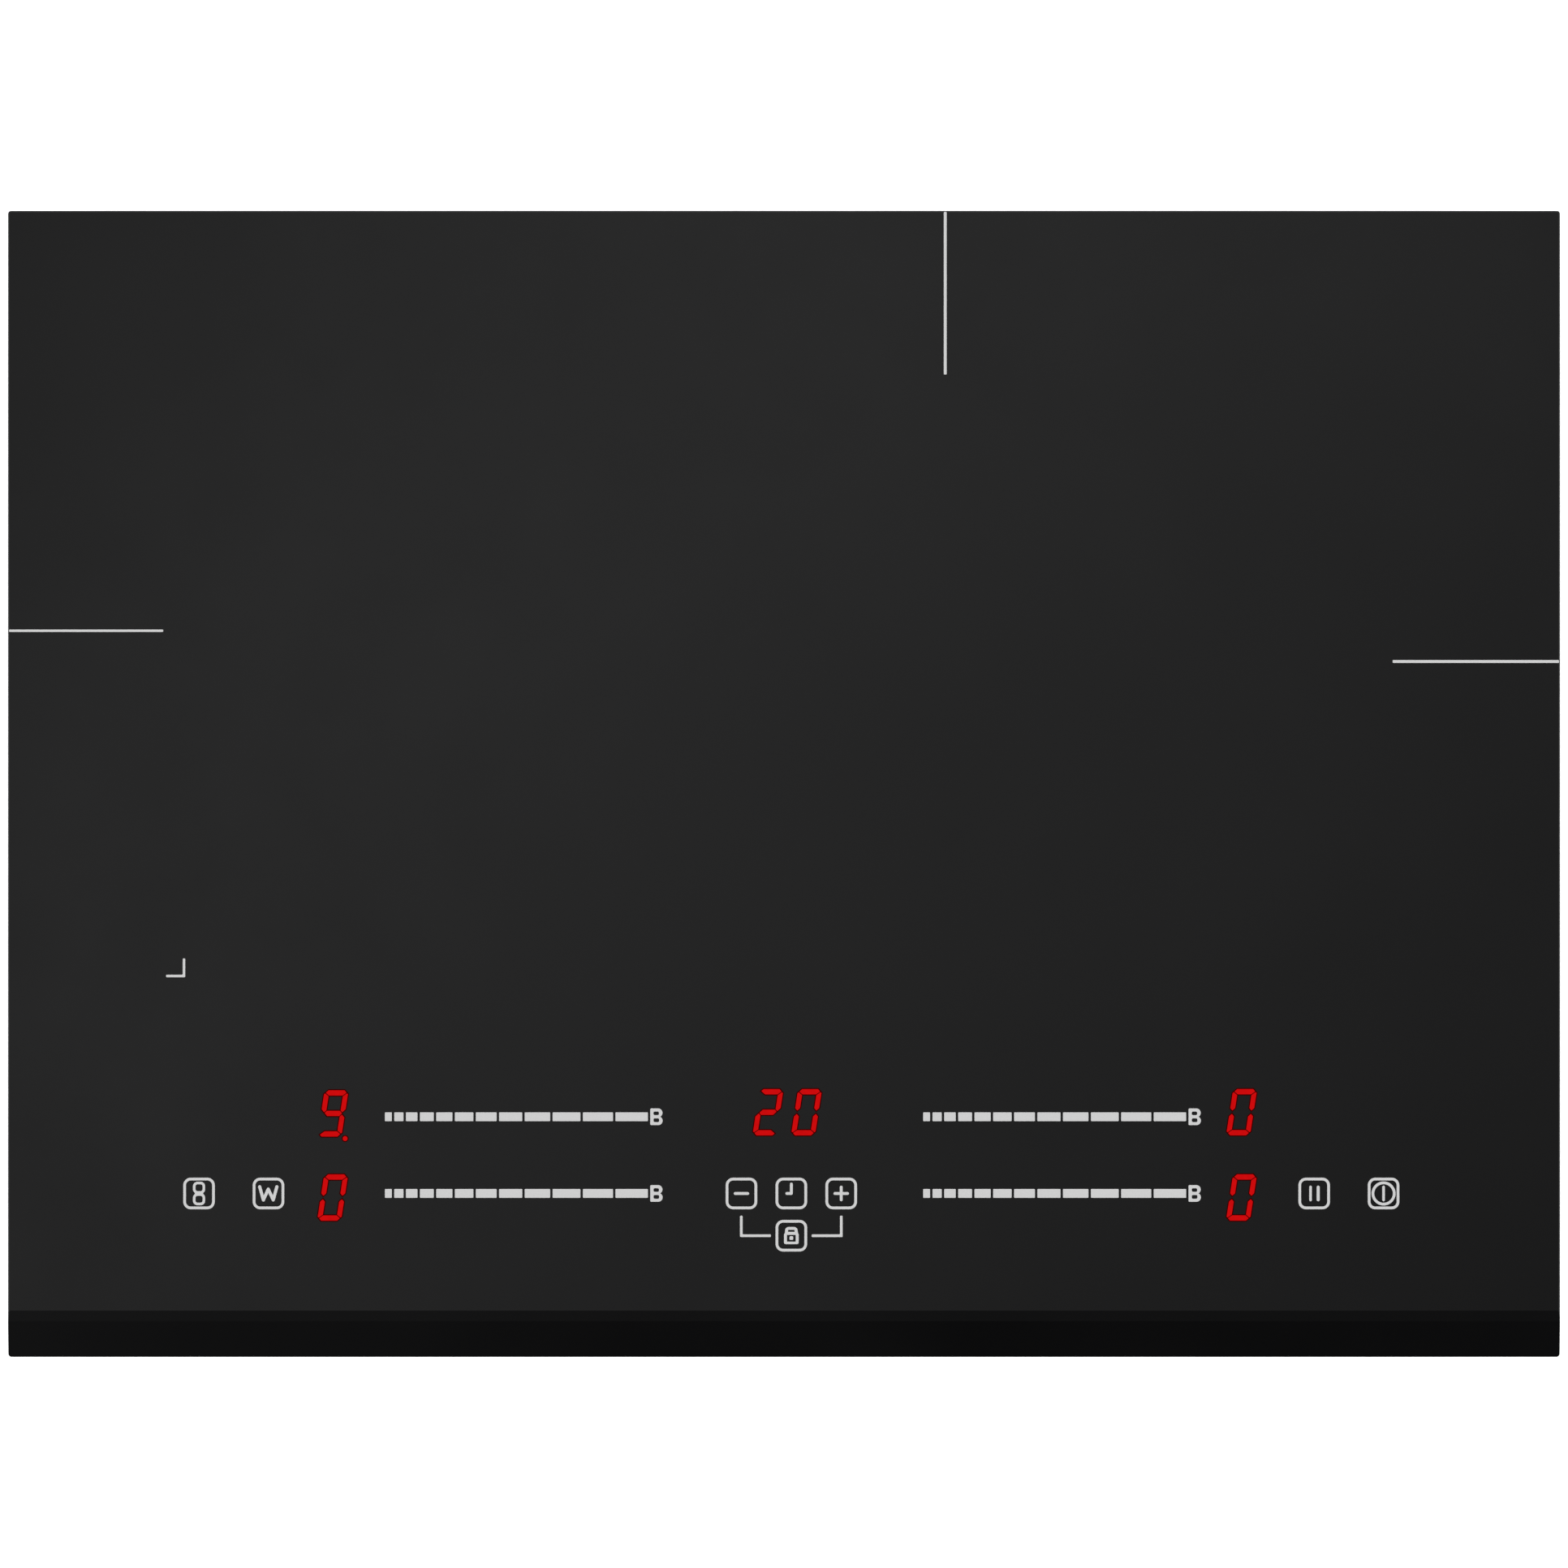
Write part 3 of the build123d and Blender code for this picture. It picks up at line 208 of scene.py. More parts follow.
def powder_coat(name, colour):
    """Powder coat with orange peel."""
    s = Surface(name, ior=1.5)
    s.colour(s.noise(40, detail=4), scaled(colour, 0.9), scaled(colour, 1.15))
    s.roughness(s.noise(6, detail=3), 0.36, 0.5)
    s.bump(s.noise(1.1, detail=2), 0.02)
    return s.material


def foam(name, colour):
    """Closed-cell sealing foam with open pores on its cut faces; the colour carries painted shade, darker
    in each pore, and painted light, lighter on the rims between pores.
    """
    s = Surface(name, ior=1.4)
    pores_and_painted_shade = s.cells(0.7).outputs["Distance"]
    # Painted shade and light: darker towards each pore's centre, where the relief is lowest, and lighter on
    # the raised rims.
    s.link(s.ramp(pores_and_painted_shade, [(0.0, scaled(colour, 0.45)), (0.45, colour), (0.9, scaled(colour, 1.4))]),
           s.shader.inputs["Base Color"])
    s.roughness(s.noise(4, detail=2), 0.82, 0.95)
    s.bump(pores_and_painted_shade, 0.12)
    return s.material


def rubber(name, colour, rough=0.55):
    s = Surface(name, ior=1.45)
    s.colour(s.noise(5, detail=4), scaled(colour, 0.8), scaled(colour, 1.25))
    s.roughness(s.noise(2, detail=3), rough - 0.08, rough + 0.1)
    s.bump(s.noise(0.8, detail=3), 0.012)
    return s.material


def litz(name, colour):
    """Enamelled copper litz: fine strands that shift in tone across the bundle, with painted shade in the
    grooves between strands and painted light on their tops.
    """
    s = Surface(name, metallic=0.85, Coat_Weight=0.35)
    s.shader.inputs["Coat Roughness"].default_value = 0.3
    strands_and_painted_shade = s.noise(0.7, detail=5, distortion=0.8)
    # Painted shade and light: the noise that raises the strands also darkens the grooves and lightens the
    # tops.
    s.colour(strands_and_painted_shade, scaled(colour, 0.55), scaled(colour, 1.25), colour)
    s.roughness(s.noise(3), 0.3, 0.5)
    s.bump(strands_and_painted_shade, 0.06)
    return s.material


def circuit_board(name, colour):
    """Solder mask with copper runs showing through as lighter lines, and round pads."""
    s = Surface(name, ior=1.5, Coat_Weight=0.2)
    runs = s.cells(7, "DISTANCE_TO_EDGE", stretch=(1.0, 0.45, 1.0)).outputs["Distance"]
    s.link(s.ramp(runs, [(0.0, scaled(colour, 1.9)), (0.07, scaled(colour, 1.6)), (0.1, colour)]),
           s.shader.inputs["Base Color"])
    s.roughness(s.noise(9, detail=3), 0.3, 0.44)
    s.bump(s.ramp(runs, [(0.0, 1.0), (0.08, 1.0), (0.1, 0.0)]), 0.035)
    return s.material


def mica(name, colour):
    """Pressed mica: glittering flakes in a pale binder."""
    s = Surface(name, ior=1.55)
    flakes = s.cells(1.6)
    tone = s.node("ShaderNodeSeparateColor")
    s.link(flakes.outputs["Color"], tone.inputs["Color"])
    s.colour(tone.outputs["Red"], scaled(colour, 0.75), scaled(colour, 1.2))
    s.link(s.ramp(tone.outputs["Green"], [(0.0, 0.28), (1.0, 0.6)]), s.shader.inputs["Roughness"])
    s.bump(flakes.outputs["Distance"], 0.02)
    return s.material


def sintered(name, colour):
    s = Surface(name, ior=1.6)
    s.colour(s.noise(1.4, detail=5), scaled(colour, 0.7), scaled(colour, 1.5))
    s.roughness(s.noise(2.5, detail=3), 0.5, 0.7)
    s.bump(s.noise(0.5, detail=4), 0.02)
    return s.material


def print_ink():
    """Enamel screen print fired on the glass: light grey, matt, with the screen's faint grain."""
    s = Surface("print_ink", ior=1.5)
    s.colour(s.noise(0.5, detail=2), (0.435, 0.435, 0.435), (0.465, 0.465, 0.465))
    s.roughness(s.noise(2, detail=2), 0.55, 0.7)
    s.bump(s.noise(0.25, detail=2), 0.003)
    return s.material


def light(name, colour, strength, spread):
    """A lit segment seen through the dark glass, with a little unevenness along it."""
    s = Surface(name, ior=1.5, Specular_IOR_Level=0.0)
    s.shader.inputs["Base Color"].default_value = (*scaled(colour, 0.02), 1)
    stops = [(0.3, scaled(colour, 1 - spread)), (0.7, scaled(colour, 1 + spread))]
    glow = s.ramp(s.noise(3, detail=1), stops)
    s.link(glow, s.shader.inputs["Emission Color"])
    s.shader.inputs["Emission Strength"].default_value = strength
    return s.material


SLOT_COLOURS = {m["slot"]: tuple(m["base_color"][:3]) for m in frame["record"]["materials"]}
MAKERS = {
    "glass_ceramic": lambda n, c: glass_ceramic(),
    "seal_foam": foam,
    "silicone": rubber,
    "frame_paint": powder_coat,
    "tray_aluminium": lambda n, c: brushed(n, c, 0.34),
    "case_zinc": galvanised,
    "screw_zinc": zinc_plated,
    "clamp_steel": zinc_plated,
    "spring_steel": zinc_plated,
    "former_plastic": lambda n, c: moulded(n, c, 0.55),
    "copper_litz": litz,
    "ferrite": sintered,
    "mica": mica,
    "sensor_silicone": rubber,
    "lead_sleeve": lambda n, c: rubber(n, c, 0.5),
    "circuit_board": circuit_board,
    "white_plastic": lambda n, c: moulded(n, c, 0.5),
    "grey_plastic": lambda n, c: moulded(n, c, 0.55),
    "black_plastic": lambda n, c: moulded(n, c, 0.5),
    "display_plastic": lambda n, c: moulded(n, c, 0.3, depth=0.004),
    "ribbon": lambda n, c: brushed(n, c, 0.4),
    "sink_aluminium": lambda n, c: brushed(n, c, 0.36, stretch=(14, 1, 14)),
    "motor_steel": lambda n, c: brushed(n, c, 0.38),
    "package_black": lambda n, c: moulded(n, c, 0.45),
    "capacitor_blue": lambda n, c: moulded(n, c, 0.35, depth=0.004),
    "brass": zinc_plated,
}
finishes = {slot: make(slot, SLOT_COLOURS[slot]) for slot, make in MAKERS.items()}
for part in frame["record"]["subparts"]:
    mesh = frame["nodes"][part["node"]].data
    mesh.materials.clear()
    mesh.materials.append(finishes[part["material_slot"]])
INK = print_ink()
LIT = light("digit_lit", (0.58, 0.0035, 0.004), 1.0, 0.05)
LIT_EDGE = light("digit_edge", (0.034, 0.0006, 0.0007), 1.0, 0.1)


# ------------------------------------------------------------------ flat outlines, in millimetres
def arc(centre, radius, start, end, steps=10):
    """Points on an arc between two angles in degrees."""
    return [
        (centre[0] + radius * math.cos(a), centre[1] + radius * math.sin(a))
        for a in (math.radians(start + (end - start) * i / steps) for i in range(steps + 1))
    ]


def rounded(width, height, radius, x=0.0, y=0.0):
    """A rectangle with rounded corners, anticlockwise from its right-hand lower corner."""
    w, h = width / 2 - radius, height / 2 - radius
    corners = ((w, -h, -90), (w, h, 0), (-w, h, 90), (-w, -h, 180))
    return [p for cx, cy, a in corners for p in arc((x + cx, y + cy), radius, a, a + 90, 8)]


def stroke(points, width):
    """The outline of a drawn line of that width, with round ends and rounded outer corners."""
    half = width / 2

    def side(path):
        out = []
        for i, (x, y) in enumerate(path):
            before = heading(path, i - 1) if i else None
            after = heading(path, i) if i < len(path) - 1 else None
            if before is None:
                out += arc((x, y), half, after - 180, after - 90, 6)
            elif after is None:
                out += arc((x, y), half, before - 90, before, 6)
            else:
                turn = (after - before + 180) % 360 - 180
                if turn > 0:
                    out += arc((x, y), half, before - 90, before + turn - 90, 6)
                else:
                    middle = math.radians(before + turn / 2 - 90)
                    reach = half / math.cos(math.radians(turn / 2))
                    out.append((x + reach * math.cos(middle), y + reach * math.sin(middle)))
        return out

    return side(points) + side(points[::-1])


def heading(path, i):
    (ax, ay), (bx, by) = path[i], path[i + 1]
    return math.degrees(math.atan2(by - ay, bx - ax))


def moved(outline, x, y):
    return [(px + x, py + y) for px, py in outline]


def softened(points, radius):
    """A closed outline with every corner rounded, less where an edge is too short for the radius."""
    steps = 4
    out = []
    for i, corner in enumerate(points):
        p = Vector(corner)
        back, ahead = Vector(points[i - 1]) - p, Vector(points[(i + 1) % len(points)]) - p
        half = back.angle(ahead) / 2
        reach = min(radius / math.tan(half), 0.45 * back.length, 0.45 * ahead.length)
        start, end = p + back.normalized() * reach, p + ahead.normalized() * reach
        for k in range(steps + 1):
            t = k / steps
            q = start * (1 - t) ** 2 + p * 2 * t * (1 - t) + end * t ** 2
            out.append((q.x, q.y))
    return out


def ruled(points, width, radius=0.42):
    """The outline of a ruled line of that width, with squared ends and barely rounded corners."""
    path = [Vector(p) for p in points]
    ways = [(b - a).normalized() for a, b in zip(path, path[1:])]
    sides = ([], [])
    for i, p in enumerate(path):
        before, after = ways[max(i - 1, 0)], ways[min(i, len(ways) - 1)]
        across = Vector((-before.y - after.y, before.x + after.x)).normalized()
        reach = width / 2 / across.dot(Vector((-before.y, before.x)))
        sides[0].append(p + across * reach)
        sides[1].append(p - across * reach)
    return softened([tuple(q) for q in sides[1] + sides[0][::-1]], radius)


def inset(outline, distances):
    """A convex anticlockwise outline with each edge moved inwards by its own distance."""
    lines = []
    for i, distance in enumerate(distances):
        a, b = Vector(outline[i]), Vector(outline[(i + 1) % len(outline)])
        way = (b - a).normalized()
        lines.append((a + Vector((-way.y, way.x)) * distance, way))
    out = []
    for (p, u), (q, v) in zip([lines[-1]] + lines[:-1], lines):
        t = (q - p).cross(v) / u.cross(v)
        out.append(tuple(p + u * t))
    return out


# ------------------------------------------------------------------ prints as thin plates
PRINT_LOW, PRINT_HIGH = TOP + 0.004, TOP + 0.034  # a printed mark's underside and top
EDGE_GAP = 0.5  # lines stop where the ground arris of the glass begins


def clean(loop):
    """The loop without repeated points."""
    out = []
    for p in loop:
        if not out or math.dist(p, out[-1]) > 1e-4:
            out.append(p)
    if math.dist(out[0], out[-1]) <= 1e-4:
        out.pop()
    return out


def add_plate(bm, loops):
    """A thin closed plate with holes: loops[0] is its outline and the others are holes."""
    loops = [clean(loop) for loop in loops]
    levels = []
    for z in (PRINT_LOW, PRINT_HIGH):
        levels.append([[bm.verts.new((x * MM, y * MM, z * MM)) for x, y in loop] for loop in loops])
    flat = [[Vector((x, y, 0)) for x, y in loop] for loop in loops]
    for level, flip in zip(levels, (True, False)):
        verts = [v for loop in level for v in loop]
        for tri in tessellate_polygon(flat):
            corners = [verts[i] for i in tri]
            a, b, c = (v.co for v in corners)
            up = (b - a).cross(c - a).z > 0
            bm.faces.new(corners[::-1] if up == flip else corners)
    for bottom, top in zip(*levels):
        for i in range(len(bottom)):
            bm.faces.new((bottom[i - 1], bottom[i], top[i], top[i - 1]))


def piece(name, bm, materials):
    """A finished mesh piece that rides on the housing."""
    bmesh.ops.recalc_face_normals(bm, faces=bm.faces)
    mesh = bpy.data.meshes.new(name)
    bm.to_mesh(mesh)
    bm.free()
    for material in materials:
        mesh.materials.append(material)
    made = bpy.data.objects.new(name, mesh)
    bpy.context.scene.collection.objects.link(made)
    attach(made, "housing")


def printed(name, shapes):
    """A piece of several printed marks, each a list of loops."""
    bm = bmesh.new()
    for loops in shapes:
        add_plate(bm, loops)
    piece(name, bm, [INK])


# The strip's rows and columns, as on the touch board under the glass.
ROW_LOCK, ROW_FRONT, ROW_REAR = FRONT + 55.13, FRONT + 74.29, FRONT + 109.09
SLIDER_FRONT = ROW_FRONT + 0.03
STROKE = 1.28
KEY, KEY_LINE, KEY_R = 14.3, 1.22, 3.4
KEYS = {
    "bridge": (-265.3, ROW_FRONT),
    "keep_warm": (-233.8, ROW_FRONT),
    "minus": (-19.3, ROW_FRONT),
    "timer": (3.33, ROW_FRONT),
    "plus": (25.95, ROW_FRONT),
    "lock": (3.33, ROW_LOCK),
    "pause": (240.45, ROW_FRONT),
    "power": (271.92, ROW_FRONT),
}
SLIDERS = [(x, y) for x in (-181.0, 63.12) for y in (SLIDER_FRONT, ROW_REAR)]
SLIDER_W = 119.3
BARS, BAR_FIRST, BAR_GROWTH, BAR_GAP, BAR_H = 12, 3.12, 1.053, 1.12, 4.0


def zone_lines():
    """The dividers that run in from the edges, and the corner mark of the left zones."""
    rear, left, right = GLASS_HIGH.y / MM - EDGE_GAP, EDGE_GAP - HALF_W, HALF_W - EDGE_GAP
    corner = (-272.13, FRONT + 172.93)
    lines = [
        ([(73.13, rear), (73.13, FRONT + 445.72)], 1.3),
        ([(left, FRONT + 329.5), (-281.53, FRONT + 329.5)], 1.08),
        ([(right, FRONT + 315.57), (276.04, FRONT + 315.57)], 1.3),
        ([(corner[0] - 8.1, corner[1]), corner, (corner[0], corner[1] + 7.95)], 1.12),
    ]
    return [[ruled(points, width)] for points, width in lines]


def slider_bars():
    """Twelve bars that grow to the right, for each slider."""
    shapes = []
    for start, y in SLIDERS:
        x = start
        for i in range(BARS):
            width = BAR_FIRST + i * BAR_GROWTH
            shapes.append([rounded(width, BAR_H, 0.3, x + width / 2, y)])
            x += width + BAR_GAP
    return shapes


def boost_marks():
    """The letter after each slider, with its two counters."""
    width, height, bowl, corner = 5.62, 7.55, 2.0, 0.45
    lower = arc((width - bowl, bowl), bowl, -90, 60)
    upper = arc((width - bowl - 0.08, height - bowl), bowl, -60, 90)
    back = arc((corner, height - corner), corner, 90, 180, 4)
    back += arc((corner, corner), corner, 180, 270, 4)
    low_hole = rounded(2.55, 1.72, 0.6, 2.75, 2.2)
    high_hole = rounded(2.45, 1.66, 0.6, 2.7, 5.32)
    shapes = []
    for start, y in SLIDERS:
        place = (start + SLIDER_W + 1.05, y - height / 2)
        shapes.append([moved(loop, *place) for loop in (lower + upper + back, low_hole, high_hole)])
    return shapes


def key_frames():
    """The rounded-square outline of every touch key."""
    inner = KEY - 2 * KEY_LINE
    return [[rounded(KEY, KEY, KEY_R, x, y), rounded(inner, inner, KEY_R - KEY_LINE, x, y)]
            for x, y in KEYS.values()]


def bridge_symbol():
    """Two linked zones: two rounded squares that meet at a notched waist."""
    width, height, line, radius, shift, notch = 5.53, 5.42, 1.15, 2.05, 2.62, 1.9
    outline = []
    for side in (1, -1):
        square = [p for p in rounded(width, height, radius, 0, side * shift) if side * p[1] > 0.1]
        outline.append((side * notch, 0))
        outline += sorted(square, key=lambda p: math.atan2(p[1], p[0]))
    holes = [rounded(width - 2 * line, height - 2 * line, 0.95, 0, side * shift) for side in (1, -1)]
    return [[outline, *holes]]


def lock_symbol():
    """A padlock: body with a square keyhole, and a low shackle."""
    base, shoulder, top, body, shackle = -3.81, 1.25, 3.96, 3.32, 2.84
    right = arc((body - 0.75, base + 0.75), 0.75, -90, 0, 6)
    right += arc((body - 0.8, shoulder - 0.8), 0.8, 0, 55, 6)
    right += arc((shackle - 1.6, top - 1.6), 1.6, 0, 90, 8)
    outline = right + [(-x, y) for x, y in right[::-1]]
    slot = rounded(3.0, 0.92, 0.25, 0, 2.22)
    window = rounded(4.0, 3.09, 0.2, 0, -1.16)
    return [[outline, slot, window], [rounded(1.66, 1.66, 0.4, 0, -1.05)]]


def plus_outline(reach, width):
    """A cross with round ends."""
    half = width / 2
    out = []
    for quarter in range(4):
        a = quarter * 90
        tip = ((reach - half) * math.cos(math.radians(a)), (reach - half) * math.sin(math.radians(a)))
        out += arc(tip, half, a - 90, a + 90, 8)
        corner = math.radians(a + 45)
        out.append((half * math.sqrt(2) * math.cos(corner), half * math.sqrt(2) * math.sin(corner)))
    return out


def upright(x, height, width):
    """An upright bar with round ends."""
    reach = (height - width) / 2
    return stroke([(x, -reach), (x, reach)], width)


def symbols():
    """The symbol inside each key, about the key's centre."""
    letter = [(-4.0, 3.05), (-2.33, -2.95), (-0.1, 1.95), (2.15, -2.95), (3.8, 3.05)]
    hands = [(-2.05, 0.0), (0.0, 0.0), (0.0, 4.24)]
    ring = [arc((0, 0), radius, 0, 360, 64)[:-1] for radius in (5.45, 4.22)]
    drawn = {
        "bridge": bridge_symbol(),
        "keep_warm": [[stroke(letter, 1.4)]],
        "minus": [[stroke([(-2.85, 0), (2.85, 0)], STROKE)]],
        "timer": [[stroke(hands, STROKE)]],
        "plus": [[plus_outline(3.52, STROKE)]],
        "lock": lock_symbol(),
        "pause": [[upright(-1.64, 7.08, 1.14)], [upright(1.82, 7.08, 1.36)]],
        "power": [ring, [upright(0, 7.07, 1.17)]],
    }
    shapes = []
    for key, parts in drawn.items():
        for loops in parts:
            shapes.append([moved(loop, *KEYS[key]) for loop in loops])
    return shapes


def brackets():
    """The two angled lines that tie minus and plus to the lock."""
    high, low = FRONT + 64.2, FRONT + 55.14
    left = [(-19.37, high), (-19.37, low), (-5.95, low)]
    right = [(25.98, high), (25.98, low), (12.56, low)]
    return [[ruled(left, 1.17)], [ruled(right, 1.2)]]


printed("print_zone_lines", zone_lines())
printed("print_sliders", slider_bars())
printed("print_boost_marks", boost_marks())
printed("print_key_frames", key_frames())
printed("print_symbols", symbols())
printed("print_brackets", brackets())


# ------------------------------------------------------------------ seven-segment digits
# Sizes with the dark rim round each lit segment; the rim is thin where two lit segments meet.
DIGIT_W, DIGIT_H, ACROSS, POST, CUT, SLANT = 11.85, 22.0, 3.4, 3.2, 2.1, 0.154
CUT_SHARE = 0.68  # how far down a corner's slant the horizontal bar reaches
RIM, SEAM, DOT_R = 0.5, 0.17, 1.62
SEGMENTS_LIT = {"0": "abcdef", "2": "abdeg", "9": "abcdfg"}
DIGITS = {
    "digits_zone": (
        ("9", -204.53, 110.59), ("0", -204.7, 72.45), ("0", 207.55, 111.15), ("0", 207.5, 72.48),
    ),
    "digits_timer": (("2", -7.26, 111.12), ("0", 10.23, 111.12)),
}
DOT = (-199.05, 99.21)


def flipped(points, x_sign, y_sign):
    """A mirrored outline, still anticlockwise."""
    out = [(x * x_sign, y * y_sign) for x, y in points]
    return out if x_sign == y_sign else out[::-1]


def segment_outlines():
    """The seven segments as upright outlines that meet along their mitres, about the digit's centre."""
    w, h, bar, post, cut = DIGIT_W / 2, DIGIT_H / 2, ACROSS, POST, CUT
    tip_x, tip_y = w - (1 - CUT_SHARE) * cut, h - CUT_SHARE * cut
    in_x, in_y, mid_x, mid_y = w - post, h - bar, w - post / 2, bar / 2
    top = [(w - cut, h), (cut - w, h), (-tip_x, tip_y), (-in_x, in_y), (in_x, in_y), (tip_x, tip_y)]
    right = [(w, h - cut), (tip_x, tip_y), (in_x, in_y), (in_x, mid_y), (mid_x, 0), (w, mid_y)]
    middle = [(in_x, mid_y), (-in_x, mid_y), (-mid_x, 0), (-in_x, -mid_y), (in_x, -mid_y), (mid_x, 0)]
    return {
        "a": top,
        "b": right,
        "c": flipped(right, 1, -1),
        "d": flipped(top, 1, -1),
        "e": flipped(right, -1, -1),
        "f": flipped(right, -1, 1),
        "g": middle,
    }


OUTLINES = segment_outlines()


def add_lit(bm, outer, inner):
    """A lit shape: a thin plate whose top has a dark rim round its bright face."""
    rings = [[bm.verts.new((x * MM, y * MM, z * MM)) for x, y in loop]
             for loop, z in ((outer, PRINT_LOW), (outer, PRINT_HIGH), (inner, PRINT_HIGH))]
    bm.faces.new(rings[0][::-1]).material_index = 1
    bm.faces.new(rings[2]).material_index = 0
    for a, b in zip(rings, rings[1:]):
        for i in range(len(a)):
            bm.faces.new((a[i - 1], a[i], b[i], b[i - 1])).material_index = 1


def add_digit(bm, digit, x, y):
    """A slanted digit, whose segments are joined by thin seams and rimmed everywhere else."""
    lit = [OUTLINES[name] for name in SEGMENTS_LIT[digit]]
    for outline in lit:
        others = [other for other in lit if other is not outline]
        edges = zip(outline, outline[1:] + outline[:1])
        shared = [any(a in other and b in other for other in others) for a, b in edges]
        distances = [SEAM if meets else RIM for meets in shared]
        placed = []
        for loop, radius in ((outline, 0.02), (inset(outline, distances), 0.3)):
            placed.append([(px + SLANT * py + x, py + y) for px, py in softened(loop, radius)])
        add_lit(bm, *placed)


def digits():
    """The zone digits, the point after the rear left one, and the timer's two digits."""
    for name, places in DIGITS.items():
        bm = bmesh.new()
        for digit, x, y in places:
            add_digit(bm, digit, x, FRONT + y)
        if name == "digits_zone":
            centre = (DOT[0], FRONT + DOT[1])
            add_lit(bm, *(arc(centre, radius, 0, 360, 28)[:-1] for radius in (DOT_R, DOT_R - RIM)))
        piece(name, bm, [LIT, LIT_EDGE])


digits()


# ------------------------------------------------------------------ studio
def floor():
    """A plain pale floor under the case, wide enough for any view and clear when seen from below."""
    s = Surface("studio_floor", ior=1.4)
    s.colour(s.noise(900, detail=2), (0.80, 0.80, 0.80), (0.82, 0.82, 0.82))
    s.roughness(s.noise(400, detail=2), 0.75, 0.85)
    s.shader.inputs["Emission Color"].default_value = (1, 1, 1, 1)
    s.shader.inputs["Emission Strength"].default_value = 0.5
    clear = s.node("ShaderNodeBsdfTransparent")
    either = s.node("ShaderNodeMixShader")
    s.link(s.node("ShaderNodeNewGeometry").outputs["Backfacing"], either.inputs["Fac"])
    s.link(s.shader.outputs["BSDF"], either.inputs[1])
    s.link(clear.outputs["BSDF"], either.inputs[2])
    s.link(either.outputs["Shader"], s.tree.nodes["Material Output"].inputs["Surface"])
    bm = bmesh.new()
    bmesh.ops.create_grid(bm, x_segments=8, y_segments=8, size=3.2)
    mesh = bpy.data.meshes.new("studio_floor")
    bm.to_mesh(mesh)
    bm.free()
    mesh.materials.append(s.material)
    made = bpy.data.objects.new("studio_floor", mesh)
    made.location = (0, 0, CAD_BOX[0][2] - 0.0005)
    bpy.context.scene.collection.objects.link(made)


def softbox(name, azimuth, elevation, distance, size, watts):
    """A square area light aimed at the hob."""
    data = bpy.data.lights.new(name, "AREA")
    data.shape = "SQUARE"
    data.size = size
    data.energy = watts
    made = bpy.data.objects.new(name, data)
    a, e = math.radians(azimuth), math.radians(elevation)
    way = Vector((math.cos(e) * math.cos(a), math.cos(e) * math.sin(a), math.sin(e)))
    made.location = distance * way
    made.rotation_euler = (-made.location).to_track_quat("-Z", "Y").to_euler()
    made.visible_glossy = False  # the glass mirrors the dim room, not the lamps
    bpy.context.scene.collection.objects.link(made)


ROOM = 0.5  # the room's own brightness
HALO = 0.62  # brightness of the ceiling round the glow, as a share of the glow's own
GLOW_AXIS = (0.629, -0.777, 0.0)  # the glow overhead fades along this direction
GLOW_STOPS = (
    (-0.114, 0.44), (-0.083, 0.49), (-0.063, 0.515), (-0.030, 0.51), (-0.019, 0.50), (-0.0114, 0.455),
    (-0.0025, 0.41), (0.0076, 0.372), (0.030, 0.35), (0.050, 0.30), (0.068, 0.285), (0.081, 0.245),
    (0.101, 0.195), (0.144, 0.175), (0.2, 0.13), (0.256, 0.055),
)


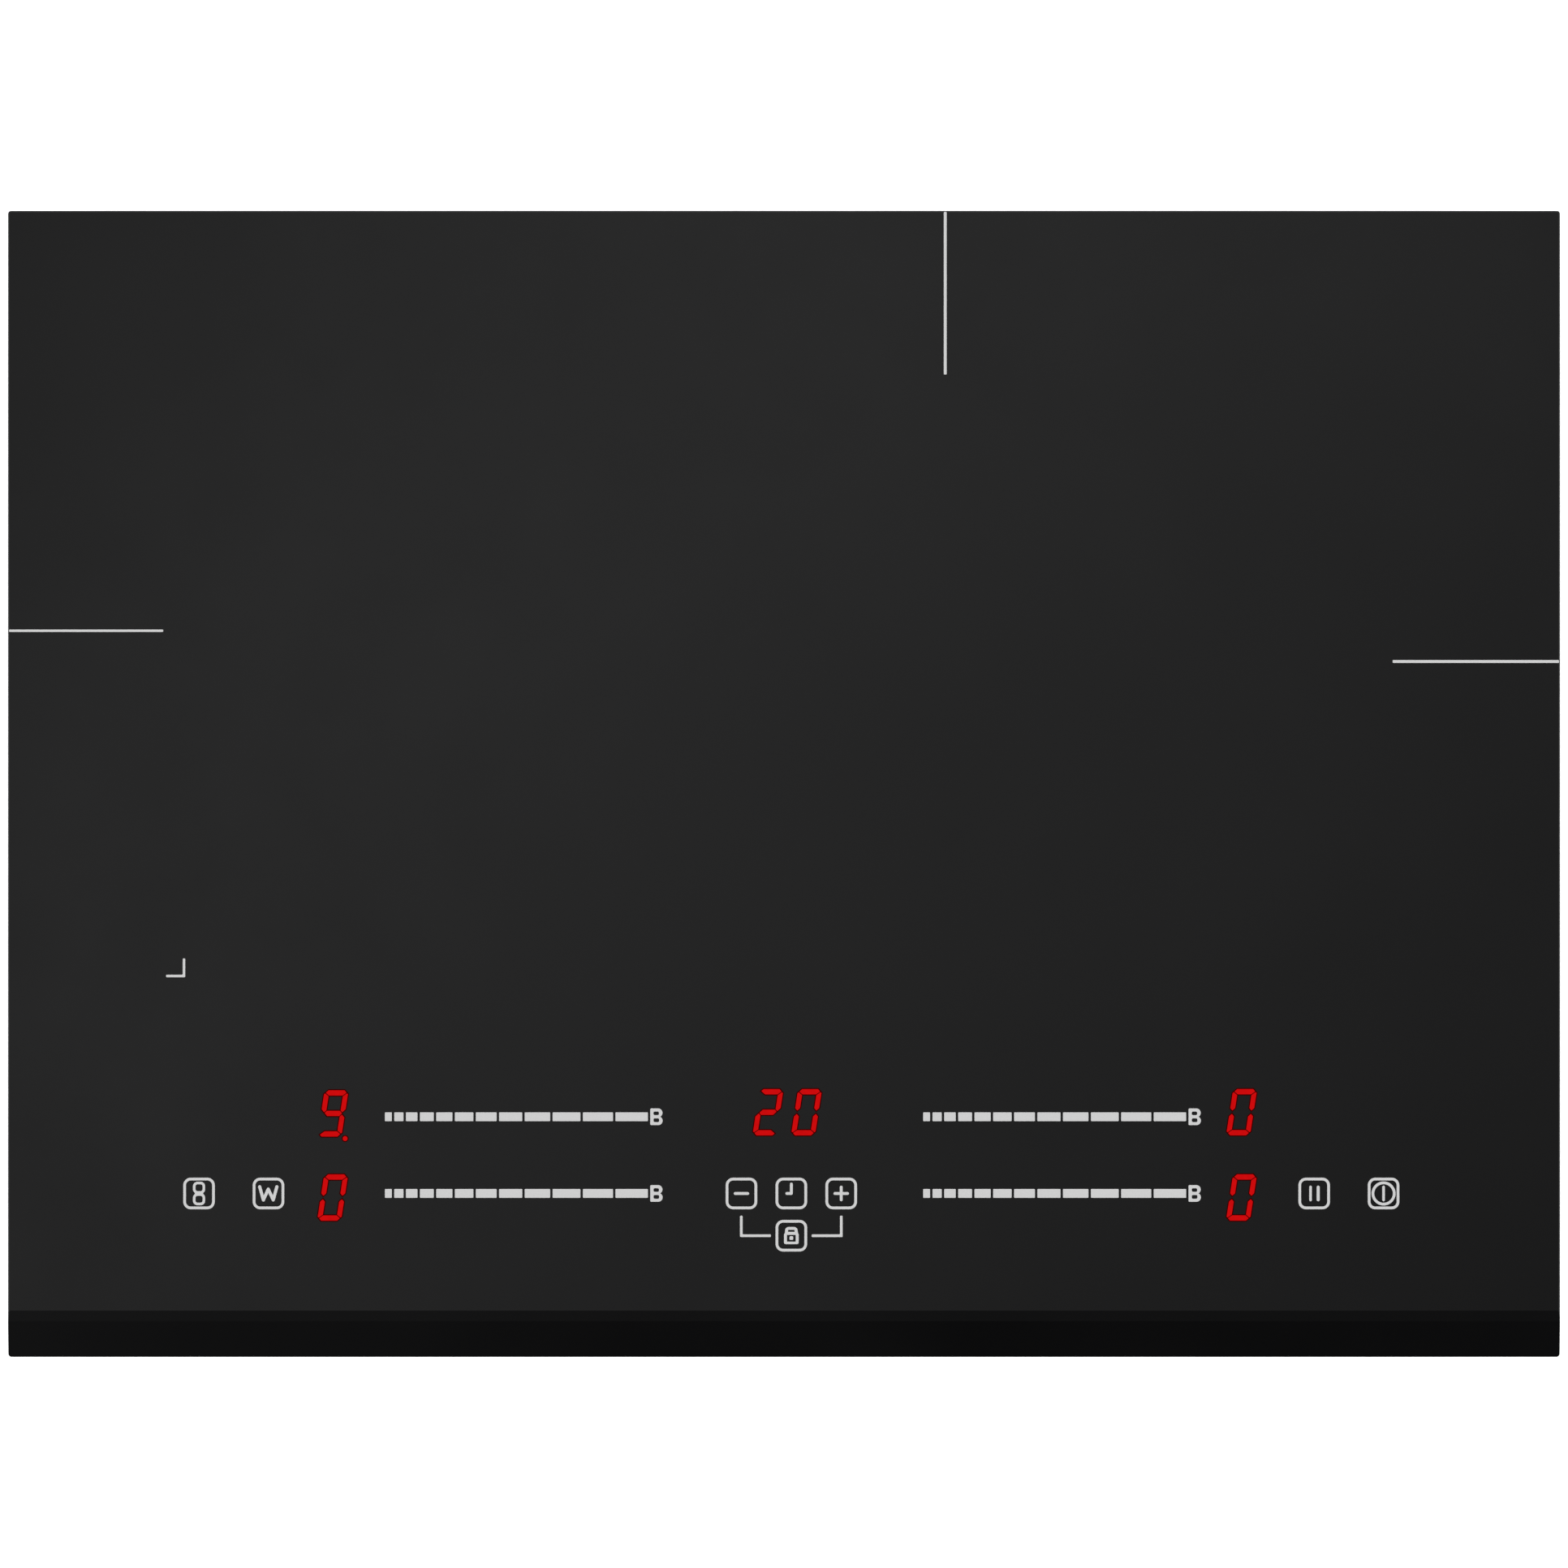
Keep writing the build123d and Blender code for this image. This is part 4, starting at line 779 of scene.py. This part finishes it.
def overhead_world():
    """A pale room with one large soft glow overhead, brightest to the rear left, in a darker ceiling."""
    world = bpy.data.worlds.new("studio")
    bpy.context.scene.world = world
    world.use_nodes = True
    tree = world.node_tree
    coords = tree.nodes.new("ShaderNodeTexCoord").outputs["Generated"]

    def dot(vector):
        made = tree.nodes.new("ShaderNodeVectorMath")
        made.operation = "DOT_PRODUCT"
        made.inputs[1].default_value = vector
        tree.links.new(coords, made.inputs[0])
        return made.outputs["Value"]

    def ranged(value, low, high, to_low=0.0, to_high=1.0, kind="LINEAR"):
        made = tree.nodes.new("ShaderNodeMapRange")
        made.interpolation_type = kind
        for name, number in zip(("From Min", "From Max", "To Min", "To Max"), (low, high, to_low, to_high)):
            made.inputs[name].default_value = number
        tree.links.new(value, made.inputs["Value"])
        return made.outputs["Result"]

    def mixed(factor, first, second):
        made = tree.nodes.new("ShaderNodeMix")
        made.data_type = "RGBA"
        for name, source in (("Factor", factor), ("A", first), ("B", second)):
            if isinstance(source, float):
                made.inputs[name].default_value = (source, source, source, 1)
            else:
                tree.links.new(source, made.inputs[name])
        return made.outputs["Result"]

    def dimmed(colour, by):
        made = tree.nodes.new("ShaderNodeVectorMath")
        made.operation = "SCALE"
        tree.links.new(colour, made.inputs["Vector"])
        if isinstance(by, float):
            made.inputs["Scale"].default_value = by
        else:
            tree.links.new(by, made.inputs["Scale"])
        return made.outputs["Vector"]

    def around(outer, inner):
        """1 within the inner angle from straight up, 0 beyond the outer one, in degrees."""
        edges = (math.cos(math.radians(angle)) for angle in (outer, inner))
        return ranged(dot((0.0, 0.0, 1.0)), *edges, kind="SMOOTHSTEP")

    band = tree.nodes.new("ShaderNodeValToRGB")
    for _ in GLOW_STOPS[2:]:
        band.color_ramp.elements.new(0.5)
    low, high = GLOW_STOPS[0][0], GLOW_STOPS[-1][0]
    for element, (place, grey) in zip(band.color_ramp.elements, GLOW_STOPS):
        element.position = (place - low) / (high - low)
        element.color = (grey, grey, grey, 1)
    tree.links.new(ranged(dot(GLOW_AXIS), low, high), band.inputs["Fac"])
    left = ranged(dot((-1.0, 0.3, 0.0)), 0.072, 0.102, 1.0, 0.75)
    glow = dimmed(band.outputs["Color"], left)
    room = mixed(around(34, 22), ROOM, dimmed(glow, HALO))
    room = mixed(around(8, 7), room, glow)
    seen = tree.nodes.new("ShaderNodeLightPath").outputs["Is Camera Ray"]
    tree.links.new(mixed(seen, room, 1.0), tree.nodes["Background"].inputs["Color"])


def camera():
    """A long lens straight above the centre of the glass."""
    data = bpy.data.cameras.new("camera")
    data.lens, data.sensor_width = 200, 36
    made = bpy.data.objects.new("camera", data)
    glass_w = GLASS_HIGH.x - GLASS_LOW.x
    glass_share = 0.98996  # of the picture's width
    distance = glass_w / glass_share * data.lens / data.sensor_width
    made.location = (0, (GLASS_LOW.y + GLASS_HIGH.y) / 2, GLASS_HIGH.z + distance)
    data.clip_end = 40
    bpy.context.scene.collection.objects.link(made)
    bpy.context.scene.camera = made


floor()
for corner in range(4):
    softbox(f"softbox_{corner}", 45 + 90 * corner, 40, 3.4, 2.0, 47)
overhead_world()
camera()
bpy.context.scene.view_settings.view_transform = "Standard"
